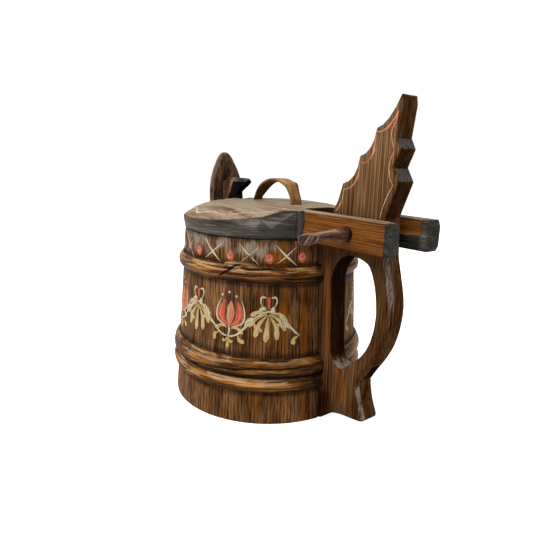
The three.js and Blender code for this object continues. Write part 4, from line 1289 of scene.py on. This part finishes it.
def palmette(work, at, lean, mirror):
    """A fan of ochre comma strokes with cream lights."""
    for degrees in (-78, -52, -26, 0, 26, 52, 78):
        reach = 24 - 9 * (degrees / 78) ** 2
        wide = 4.8 - 1.2 * abs(degrees / 78)
        curl = 0 if degrees == 0 else math.copysign(2.6, degrees)
        place = (at, lean + degrees, FAN_SCALE, mirror)
        knots = [(0.5 * curl, -reach), (-0.6 * curl, -reach * 0.55), (0, -1.5)]
        work.stroke(turned_knots(knots, *place), wide * FAN_SCALE, OCHRE, "comma", 0.2, 0.16)
        for shift in (-0.9, 0.8):
            light = [(0.5 * curl + shift, -reach * 0.9), (-0.6 * curl + shift * 0.8, -reach * 0.55),
                     (0.1, -4)]
            work.stroke(turned_knots(light, *place), 1.05, CREAM, "comma", 0.34, 0.35)


def vine_leaf(work, root, lean, rise, length):
    """A comma leaf with a light along it, above the vine or below it."""
    leaf, light = (CREAM, OCHRE) if rise > 0 else (OCHRE, CREAM)
    knots = [(0.9, length * rise), (-1.9, 0.55 * length * rise), (0, 0.6 * rise)]
    work.stroke(turned_knots(knots, root, lean), 4.0, leaf, "comma", 0.2, 0.18)
    knots = [(1.0, 0.85 * length * rise), (-1.2, 0.5 * length * rise), (0, 2.5 * rise)]
    work.stroke(turned_knots(knots, root, lean), 0.8, light, "comma", 0.34, 0.3)


def paint_scroll():
    """A waving vine with upright tulips, hanging fans and comma leaves, the same on both sides."""
    work = Brushwork(wall_ground(), 23)
    for side in (-1, 1):
        home = side * VINE_HOME * BRUSH_MM_PER_DEGREE

        def vine(s):
            return VINE_HEIGHT - VINE_SWING * math.cos(2 * math.pi * (s - home) / VINE_WAVE)

        def between(s):
            return VINE_START < abs(s) / BRUSH_MM_PER_DEGREE < 156

        run = np.linspace(side * VINE_START, side * 157, 80) * BRUSH_MM_PER_DEGREE
        for part in np.array_split(run, 11):
            knots = [(s, vine(s)) for s in np.append(part, part[-1] + side * 2.5)]
            work.stroke(knots, 1.7 + work.random.uniform(-0.35, 0.4), CREAM, "line", 0.2, 0.28, 0.4)
        for k in (-1, 0, 1, 2):
            s = home + side * k * VINE_WAVE
            if between(s):
                tulip(work, (s, vine(s) + 0.5), side * 4)
                for beside, above in ((-7, 37), (0, 40), (7, 37)):
                    x, z = s + beside, vine(s) + above
                    work.stroke([(x - 1.1, z), (x + 1.1, z)], 2.3, CREAM, "dot", 0.22)
            fan = s + side * VINE_WAVE / 2
            if between(fan):
                z = vine(fan)
                palmette(work, (fan, z - 1.0), side * 5, side)
                for way in (-1, 1):
                    horn = [(fan + way * 2, z + 12.5), (fan + way * 6.5, z + 12.5),
                            (fan + way * 6.5, z + 6.5), (fan + way, z + 0.5)]
                    work.stroke(horn, 1.7, CREAM, "comma", 0.2, 0.25)
                heart = [(fan, z + 13), (fan, z + 6), (fan, z + 1)]
                work.stroke(heart, 3.0, CORAL, "comma", 0.22, 0.2)
            for share, rise, length in VINE_LEAVES:
                root = s + side * share * VINE_WAVE
                if between(root):
                    lean = side * (-38 if share < 0.5 else 38) * rise
                    vine_leaf(work, (root, vine(root)), lean, rise, length)
    work.finished("wall_scroll", "vessel")


def paint_lid_border():
    """A waving line with dots, a little way in from the lid's rim."""
    work = Brushwork(lid_ground(), 31)
    radius = sizes().border_radius / MM
    for side in (-1, 1):
        knots = [(57.5, side * 26.5), (62.0, side * 34.5), (60.5, side * 46.0)]
        for turn in np.arange(48, 152, 3.0):
            a, reach = math.radians(turn), radius + 2.2 * math.sin(math.radians((turn - 60) * 12.4))
            knots.append((reach * math.cos(a), side * reach * math.sin(a)))
        for k in range(0, len(knots) - 4, 4):
            work.stroke(knots[k:k + 6], 1.9 + work.jitter(0.3), CREAM, "line", 0.16, 0.3, 0.25)
            second = CREAM if k > 14 else ROSE if k % 8 else CORAL
            work.stroke(knots[k:k + 5], 0.8, second, "line", 0.2, 0.5, 0.9)
        for turn in np.arange(66, 150, 14.5):
            a = math.radians(turn)
            spot = np.array([math.cos(a), side * math.sin(a)]) * (radius - 3.0)
            along = np.array([-math.sin(a), side * math.cos(a)]) * 2.0
            work.stroke([spot - along, spot + along], 3.0, ROSE, "dot", 0.18, 0.5)
    work.finished("lid_border", "lid")


# Lines inside the comb's edges: the paint, then knots from the peg's axis and the lid's top
FRONT_LINES = (
    (ROSE, ((21.6, 77.8), (18.5, 72.4), (13.1, 66.3), (7.6, 63.2), (2.7, 63.0))),
    (CORAL, ((2.7, 63.4), (1.4, 56.5), (0.9, 49.5), (-2.7, 42.8), (-7.8, 40.2), (-12.2, 40.8))),
    (ROSE, ((-12.1, 41.3), (-12.6, 33.5), (-15.2, 26.4), (-20.2, 21.2), (-27.8, 18.6))),
    (OCHRE, ((-27.6, 19.2), (-28.6, 12.0), (-31.2, 5.6), (-35.0, 0.6))),
)
REAR_LINES = (
    (ROSE, ((21.4, 77.0), (20.0, 70.6), (17.5, 65.5), (16.9, 60.0), (18.2, 54.7), (20.6, 49.2))),
    (ROSE, ((20.6, 49.8), (18.2, 45.4), (16.6, 40.0), (16.6, 36.0), (18.2, 30.0), (21.9, 24.6))),
    (CREAM, ((21.9, 25.2), (18.4, 19.7), (15.4, 12.0), (12.6, 4.0), (12.0, -1.0))),
)


def paint_comb():
    """Lines inside the comb's scallops and a thin one by its teeth, on both faces."""
    origin = np.array([HINGE_X, LID_TOP])
    for side, name in ((-1, "comb_line_near"), (1, "comb_line_far")):
        work = Brushwork(board_ground(side), 41 + side)
        for pigment, knots in FRONT_LINES:
            knots = np.array(knots) + origin
            second = ROSE if pigment == CORAL else CORAL
            work.stroke(knots, 1.1, pigment, "line", 0.16, 0.4, 0.2)
            work.stroke(knots[:4] + (0.6, -1.1), 0.8, second, "leaf", 0.2, 0.4, 0.3)
            work.stroke(knots[1:4] + (0.1, -0.2), 0.6, CREAM, "leaf", 0.3, 0.4, 0.3)
        for pigment, knots in REAR_LINES:
            width = 0.6 if pigment == CREAM else 0.75
            work.stroke(np.array(knots) + origin, width, pigment, "line", 0.15, 0.6, 0.35)
        work.finished(name, "vessel")


# Stage


PHOTO_WIDTH = 560
SENSOR_MM = 36
FOCAL_PIXELS = 489.5
CAMERA_TURN = (51.1, 13.95, 1.82)
CAMERA_SPOT = (390.7, -300.2, 234.0)
LAMP_AIM = (0, 0, 0.13)
PAPER_GREY = 0.86
PAPER_GLOW = 0.84
FLOOR_HALF = 12


def camera_axes(azimuth, elevation, roll=0):
    """Right, up and back of a camera that looks at the vessel from an azimuth and an elevation."""
    a, e, r = math.radians(azimuth), math.radians(elevation), math.radians(roll)
    back = Vector((math.sin(a) * math.cos(e), -math.cos(a) * math.cos(e), math.sin(e)))
    right = Vector((math.cos(a), math.sin(a), 0))
    up = back.cross(right)
    return math.cos(r) * right + math.sin(r) * up, math.cos(r) * up - math.sin(r) * right, back


def make_camera():
    data = bpy.data.cameras.new("Camera")
    data.sensor_width = SENSOR_MM
    data.lens = FOCAL_PIXELS / PHOTO_WIDTH * SENSOR_MM
    camera = link("Camera", data)
    turn = Matrix(camera_axes(*CAMERA_TURN)).transposed().to_4x4()
    camera.matrix_world = Matrix.Translation(placed([CAMERA_SPOT])[0]) @ turn
    bpy.context.scene.camera = camera


def lamp(name, azimuth, elevation, distance, size, level):
    """A soft square lamp aimed at the tankard; level 1 alone shows a colour as it is written."""
    _, _, back = camera_axes(azimuth, elevation)
    data = bpy.data.lights.new(name, "AREA")
    data.size = size
    data.energy = level * math.pi ** 2 * distance ** 2
    light = link(name, data)
    light.location = Vector(LAMP_AIM) + back * distance
    light.rotation_euler = back.to_track_quat("Z", "Y").to_euler()


def make_room():
    """White to the camera, in mirrors and through glass, and a dimmer even light elsewhere."""
    world = bpy.data.worlds.new("Studio")
    bpy.context.scene.world = world
    room = Finish(world)
    seen = room.seen("Is Camera Ray", "Is Glossy Ray", "Is Transmission Ray")
    strength = room.span(sizes().room_light, 1.0, seen)
    background = room.node("Background", {"Color": rgba((1, 1, 1)), "Strength": strength})
    room.close(background.outputs[0], "OutputWorld")


def make_floor():
    """White paper that catches the tankard's shadow and otherwise fades into the room."""
    finish = Finish(bpy.data.materials.new("White paper"))
    paper = finish.node("BsdfDiffuse", {"Color": rgba([PAPER_GREY] * 3)}).outputs[0]
    glow = finish.node("Emission", {"Color": rgba((1, 1, 1)), "Strength": PAPER_GLOW}).outputs[0]
    both = finish.node("AddShader", {0: paper, 1: glow}).outputs[0]
    seen = finish.seen("Is Camera Ray", "Is Glossy Ray", "Is Transmission Ray")
    shown = finish.node("MixShader", {0: seen, 1: paper, 2: both}).outputs[0]
    mesh = bpy.data.meshes.new("Floor")
    corners = [(x * FLOOR_HALF, y * FLOOR_HALF, 0) for x, y in ((-1, -1), (1, -1), (1, 1), (-1, 1))]
    mesh.from_pydata(corners, [], [(0, 1, 2, 3)])
    mesh.materials.append(finish.close(shown))
    floor = link("Floor", mesh)


def make_stage():
    bpy.context.scene.view_settings.view_transform = "Standard"
    make_room()
    make_floor()
    key, fill = sizes().key_light, sizes().fill_light
    lamp("Key", 0, 48, 1.5, 0.9, key)
    lamp("Left", -52, 24, 1.8, 0.9, fill)
    lamp("Front", 52, 36, 1.8, 0.7, fill * 0.7)
    lamp("Side", 125, 30, 1.8, 1.2, fill * 0.5)
    lamp("Back", 230, 40, 1.6, 1.6, fill)
    make_camera()


# Add-on classes


def length_prop(name, description, millimetres):
    return FloatProperty(name=name, description=description, default=millimetres * MM, min=0.0,
                         precision=5, subtype="DISTANCE", unit="LENGTH")


def factor_prop(name, description, default=1.0):
    return FloatProperty(name=name, description=description, default=default, min=0.0, soft_max=2.0,
                         subtype="FACTOR")


def colour_prop(name, description, default):
    return FloatVectorProperty(name=name, description=description, default=default, size=3,
                               min=0.0, max=1.0, subtype="COLOR")


class TankardSizes(bpy.types.PropertyGroup):
    plane_marks: length_prop("Plane marks", "Depth of the plane's hollows in the wall", 0.16)
    joint_depth: length_prop("Joint depth", "How far the staves' edges are rubbed in", 0.42)
    joint_width: length_prop("Joint width", "How far from a joint a stave is rubbed in", 0.55)
    border_radius: length_prop("Border radius", "From the lid's middle to its painted border", 75.6)
    mesh_step: factor_prop("Mesh step", "Fineness of the close meshes, where less is finer")
    split_depth: factor_prop("Splits", "Depth of the hoops' own splits")
    line_spacing: factor_prop("Growth lines", "Distance between the growth lines")
    # Scales both the rubbing and the painted sheen
    wear: factor_prop("Wear", "How rubbed the edges and tops are")
    # Scales both the soiling and the painted shade
    grime_and_shade: factor_prop("Grime", "How much dark has settled in the corners")
    paint_thickness: factor_prop("Paint", "Thickness of the paint")
    room_light: factor_prop("Room light", "Even light from all round", 0.24)
    key_light: factor_prop("Key light", "Level of the main lamp", 0.85)
    fill_light: factor_prop("Fill light", "Level of the lamps that open the shadows", 0.3)


GREYED = (0.310, 0.245, 0.190)
STAVE_ORANGE = (0.280, 0.088, 0.008)
ORANGE = (0.260, 0.075, 0.008)
# The worn tone also serves for the painted sheen and highlights
WOOD_TONES = {
    "deep": "Stain where it lies thickest",
    "dark": "Most of the stained wood",
    "warm": "Stain where the wood shows through",
    "pale": "Stain where it is thinnest",
    "worn": "Rubbed edges and tops",
    "glow": "Orange runs in the stain",
}
WOODS = {
    "stave": ((0.026, 0.008, 0.002), (0.076, 0.034, 0.012), (0.166, 0.084, 0.036),
              (0.320, 0.150, 0.045), GREYED, STAVE_ORANGE),
    "hoop": ((0.018, 0.006, 0.001), (0.110, 0.036, 0.004), (0.260, 0.103, 0.015),
             (0.460, 0.225, 0.060), (0.550, 0.350, 0.190), (0.420, 0.190, 0.035)),
    "board": ((0.080, 0.045, 0.025), (0.160, 0.095, 0.050), (0.270, 0.170, 0.090),
              (0.380, 0.250, 0.140), GREYED, ORANGE),
    "handle": ((0.010, 0.003, 0.001), (0.050, 0.019, 0.005), (0.106, 0.053, 0.021),
               (0.205, 0.122, 0.062), (0.270, 0.235, 0.200), ORANGE),
    "latch": ((0.018, 0.007, 0.004), (0.070, 0.033, 0.017), (0.154, 0.084, 0.047),
              (0.280, 0.150, 0.070), (0.200, 0.165, 0.130), STAVE_ORANGE),
    "lid": ((0.040, 0.012, 0.003), (0.115, 0.037, 0.007), (0.220, 0.078, 0.016),
            (0.360, 0.160, 0.045), (0.400, 0.330, 0.220), ORANGE),
    "strap": ((0.090, 0.045, 0.018), (0.220, 0.105, 0.032), (0.400, 0.205, 0.062),
              (0.520, 0.300, 0.100), (0.500, 0.360, 0.200), (0.480, 0.190, 0.040)),
    "wedge": ((0.090, 0.045, 0.018), (0.220, 0.105, 0.032), (0.400, 0.205, 0.062),
              (0.520, 0.300, 0.100), GREYED, ORANGE),
    "peg": ((0.012, 0.007, 0.006), (0.050, 0.022, 0.015), (0.110, 0.045, 0.024),
            (0.200, 0.100, 0.060), (0.360, 0.260, 0.200), ORANGE),
}
SOOT_TONES = {
    "black": "Soot where it lies thickest",
    "dull": "Most of the soot",
    "grey": "Soot where it is rubbed",
    "ash": "Soot where it is thinnest",
}
SOOTS = {
    "latch_soot": ((0.004, 0.003, 0.003), (0.013, 0.010, 0.009), (0.050, 0.046, 0.044),
                   (0.140, 0.125, 0.110)),
    "lid_soot": ((0.006, 0.005, 0.004), (0.026, 0.023, 0.019), (0.070, 0.061, 0.050),
                 (0.200, 0.175, 0.145)),
}


def tone_properties():
    """A colour property for each tone of each wood and each soot."""
    made = {}
    for table, tones in ((WOODS, WOOD_TONES), (SOOTS, SOOT_TONES)):
        for part, defaults in table.items():
            label = part.replace("_", " ").capitalize()
            for (tone, description), default in zip(tones.items(), defaults):
                made[f"{part}_{tone}"] = colour_prop(f"{label}, {tone}", description, default)
    return made


class TankardColours(bpy.types.PropertyGroup):
    # This dark tone also serves for the painted shade
    grime_and_shade: colour_prop("Grime", "Dark settled in the corners", (0.006, 0.003, 0.002))
    cream: colour_prop("Cream paint", "Vine, crosses and lights", (0.62, 0.54, 0.38))
    coral: colour_prop("Coral paint", "Dots and petals", (0.60, 0.105, 0.055))
    ochre: colour_prop("Ochre paint", "Fans and small leaves", (0.60, 0.42, 0.14))
    rose: colour_prop("Rose paint", "Middle petals and the lights on dots", (0.64, 0.27, 0.155))
    __annotations__.update(tone_properties())


def stained(name, part, soot=None, **changes):
    """The finish of one part in its own tones, with what else is different about it."""
    *tones, worn, glow = (getattr(colours(), f"{part}_{tone}") for tone in WOOD_TONES)
    if soot is not None:
        changes["soot"] = [getattr(colours(), f"{soot}_{tone}") for tone in SOOT_TONES]
    return wood(name, tones, worn, colours().grime_and_shade, glow, **changes)


# Streaks and growth lines of the staves, which the latch stave shares
STAVE_GRAIN = {"streak": (110, 1.5), "line_share": -0.26, "line_width": (0.27, 0.45),
               "bow_share": 3.5}


class TANKARD_OT_stage(bpy.types.Operator):
    """Make the floor, the lamps and the camera"""

    bl_idname = "tankard.stage"
    bl_label = "Stage"

    def execute(self, context):
        make_stage()
        return {"FINISHED"}


class TANKARD_OT_staves(bpy.types.Operator):
    """Make the twelve wall staves"""

    bl_idname = "tankard.staves"
    bl_label = "Wall Staves"

    def execute(self, context):
        make_staves(stained("Stained stave pine", "stave", patch_share=0.5, bias=0.07, shine=0.02,
                            **STAVE_GRAIN))
        return {"FINISHED"}


class TANKARD_OT_hoops(bpy.types.Operator):
    """Make the three split-sapling hoops"""

    bl_idname = "tankard.hoops"
    bl_label = "Hoops"

    def execute(self, context):
        material = stained("Hoop wood", "hoop", line_spacing=2.4, gloss=0.42, bias=0.06, shine=0.06,
                           patch=(50, 9), patch_share=0.6, streak_share=0.36, fibre_share=0.16,
                           pore=(40, 1.1), pore_share=0.14)
        make_hoop("lower_hoop_foot", "hoop_foot", 1, 0.0, material)
        make_hoop("lower_hoop_top", "hoop_middle", 2, 0.14, material)
        make_hoop("upper_hoop", "hoop_upper", 3, 0.05, material)
        return {"FINISHED"}


class TANKARD_OT_bottom_board(bpy.types.Operator):
    """Make the round bottom board"""

    bl_idname = "tankard.bottom_board"
    bl_label = "Bottom Board"

    def execute(self, context):
        make_bottom_board(stained("Raw board pine", "board", gloss=0.65))
        return {"FINISHED"}


class TANKARD_OT_handle(bpy.types.Operator):
    """Make the handle board with its comb"""

    bl_idname = "tankard.handle"
    bl_label = "Handle Board"

    def execute(self, context):
        make_handle(stained("Stained handle pine", "handle", line_share=0.40, line_spacing=3.9,
                            patch_share=0.35, line_width=(0.37, 0.47), bow_share=1.6,
                            streak_share=0.32, pore_share=0.16, shine=0.0))
        return {"FINISHED"}


class TANKARD_OT_latch(bpy.types.Operator):
    """Make the latch stave with its paddle and nose"""

    bl_idname = "tankard.latch"
    bl_label = "Latch Stave"

    def execute(self, context):
        make_latch(stained("Stained latch pine", "latch", "latch_soot", bias=0.02, patch_share=0.6,
                           streak_share=0.4, fibre_share=0.2, shine=0.0, **STAVE_GRAIN))
        return {"FINISHED"}


class TANKARD_OT_lid(bpy.types.Operator):
    """Make the lid with its fork"""

    bl_idname = "tankard.lid"
    bl_label = "Lid"

    def execute(self, context):
        make_lid(stained("Weathered lid pine", "lid", "lid_soot", line_spacing=1.9,
                         line_share=-0.34, line_width=(0.36, 0.47), bow_share=2.4, patch=(60, 14),
                         patch_share=0.35, streak_share=0.25, pore_share=0.18, shine=0.03))
        return {"FINISHED"}


class TANKARD_OT_strap(bpy.types.Operator):
    """Make the bent strap grip and its wedges"""

    bl_idname = "tankard.strap"
    bl_label = "Strap Grip"

    def execute(self, context):
        make_strap(stained("Strap wood", "strap", line_spacing=1.6),
                   stained("Wedge pine", "wedge", gloss=0.6))
        return {"FINISHED"}


class TANKARD_OT_peg(bpy.types.Operator):
    """Make the whittled hinge peg"""

    bl_idname = "tankard.peg"
    bl_label = "Hinge Peg"

    def execute(self, context):
        make_peg(stained("Peg wood", "peg", line_spacing=1.4))
        return {"FINISHED"}


class TANKARD_OT_rim_crosses(bpy.types.Operator):
    """Paint the crossed strokes and dots under the rim"""

    bl_idname = "tankard.rim_crosses"
    bl_label = "Rim Crosses"

    def execute(self, context):
        paint_rim()
        return {"FINISHED"}


class TANKARD_OT_wall_scroll(bpy.types.Operator):
    """Paint the vine with tulips and fans on the wall"""

    bl_idname = "tankard.wall_scroll"
    bl_label = "Wall Scroll"

    def execute(self, context):
        paint_scroll()
        return {"FINISHED"}


class TANKARD_OT_lid_border(bpy.types.Operator):
    """Paint the waving border on the lid"""

    bl_idname = "tankard.lid_border"
    bl_label = "Lid Border"

    def execute(self, context):
        paint_lid_border()
        return {"FINISHED"}


class TANKARD_OT_comb_lines(bpy.types.Operator):
    """Paint the lines inside the comb's edges"""

    bl_idname = "tankard.comb_lines"
    bl_label = "Comb Lines"

    def execute(self, context):
        paint_comb()
        return {"FINISHED"}


OPERATORS = (
    TANKARD_OT_stage,
    TANKARD_OT_staves,
    TANKARD_OT_hoops,
    TANKARD_OT_bottom_board,
    TANKARD_OT_handle,
    TANKARD_OT_latch,
    TANKARD_OT_lid,
    TANKARD_OT_strap,
    TANKARD_OT_peg,
    TANKARD_OT_rim_crosses,
    TANKARD_OT_wall_scroll,
    TANKARD_OT_lid_border,
    TANKARD_OT_comb_lines,
)


class TANKARD_PT_panel(bpy.types.Panel):
    """Lists the tankard's steps"""

    bl_idname = "TANKARD_PT_panel"
    bl_label = "Tankard"
    bl_space_type = "VIEW_3D"
    bl_region_type = "UI"
    bl_category = "Tankard"

    def draw(self, context):
        for step in OPERATORS:
            self.layout.operator(step.bl_idname)


CLASSES = (TankardSizes, TankardColours, *OPERATORS, TANKARD_PT_panel)


def register():
    for cls in CLASSES:
        bpy.utils.register_class(cls)
    bpy.types.Scene.tankard_sizes = PointerProperty(type=TankardSizes)
    bpy.types.Scene.tankard_colours = PointerProperty(type=TankardColours)


def unregister():
    del bpy.types.Scene.tankard_colours
    del bpy.types.Scene.tankard_sizes
    for cls in reversed(CLASSES):
        bpy.utils.unregister_class(cls)


def main():
    register()
    for step in OPERATORS:
        group, name = step.bl_idname.split(".")
        getattr(getattr(bpy.ops, group), name)()


if __name__ == "__main__":
    main()
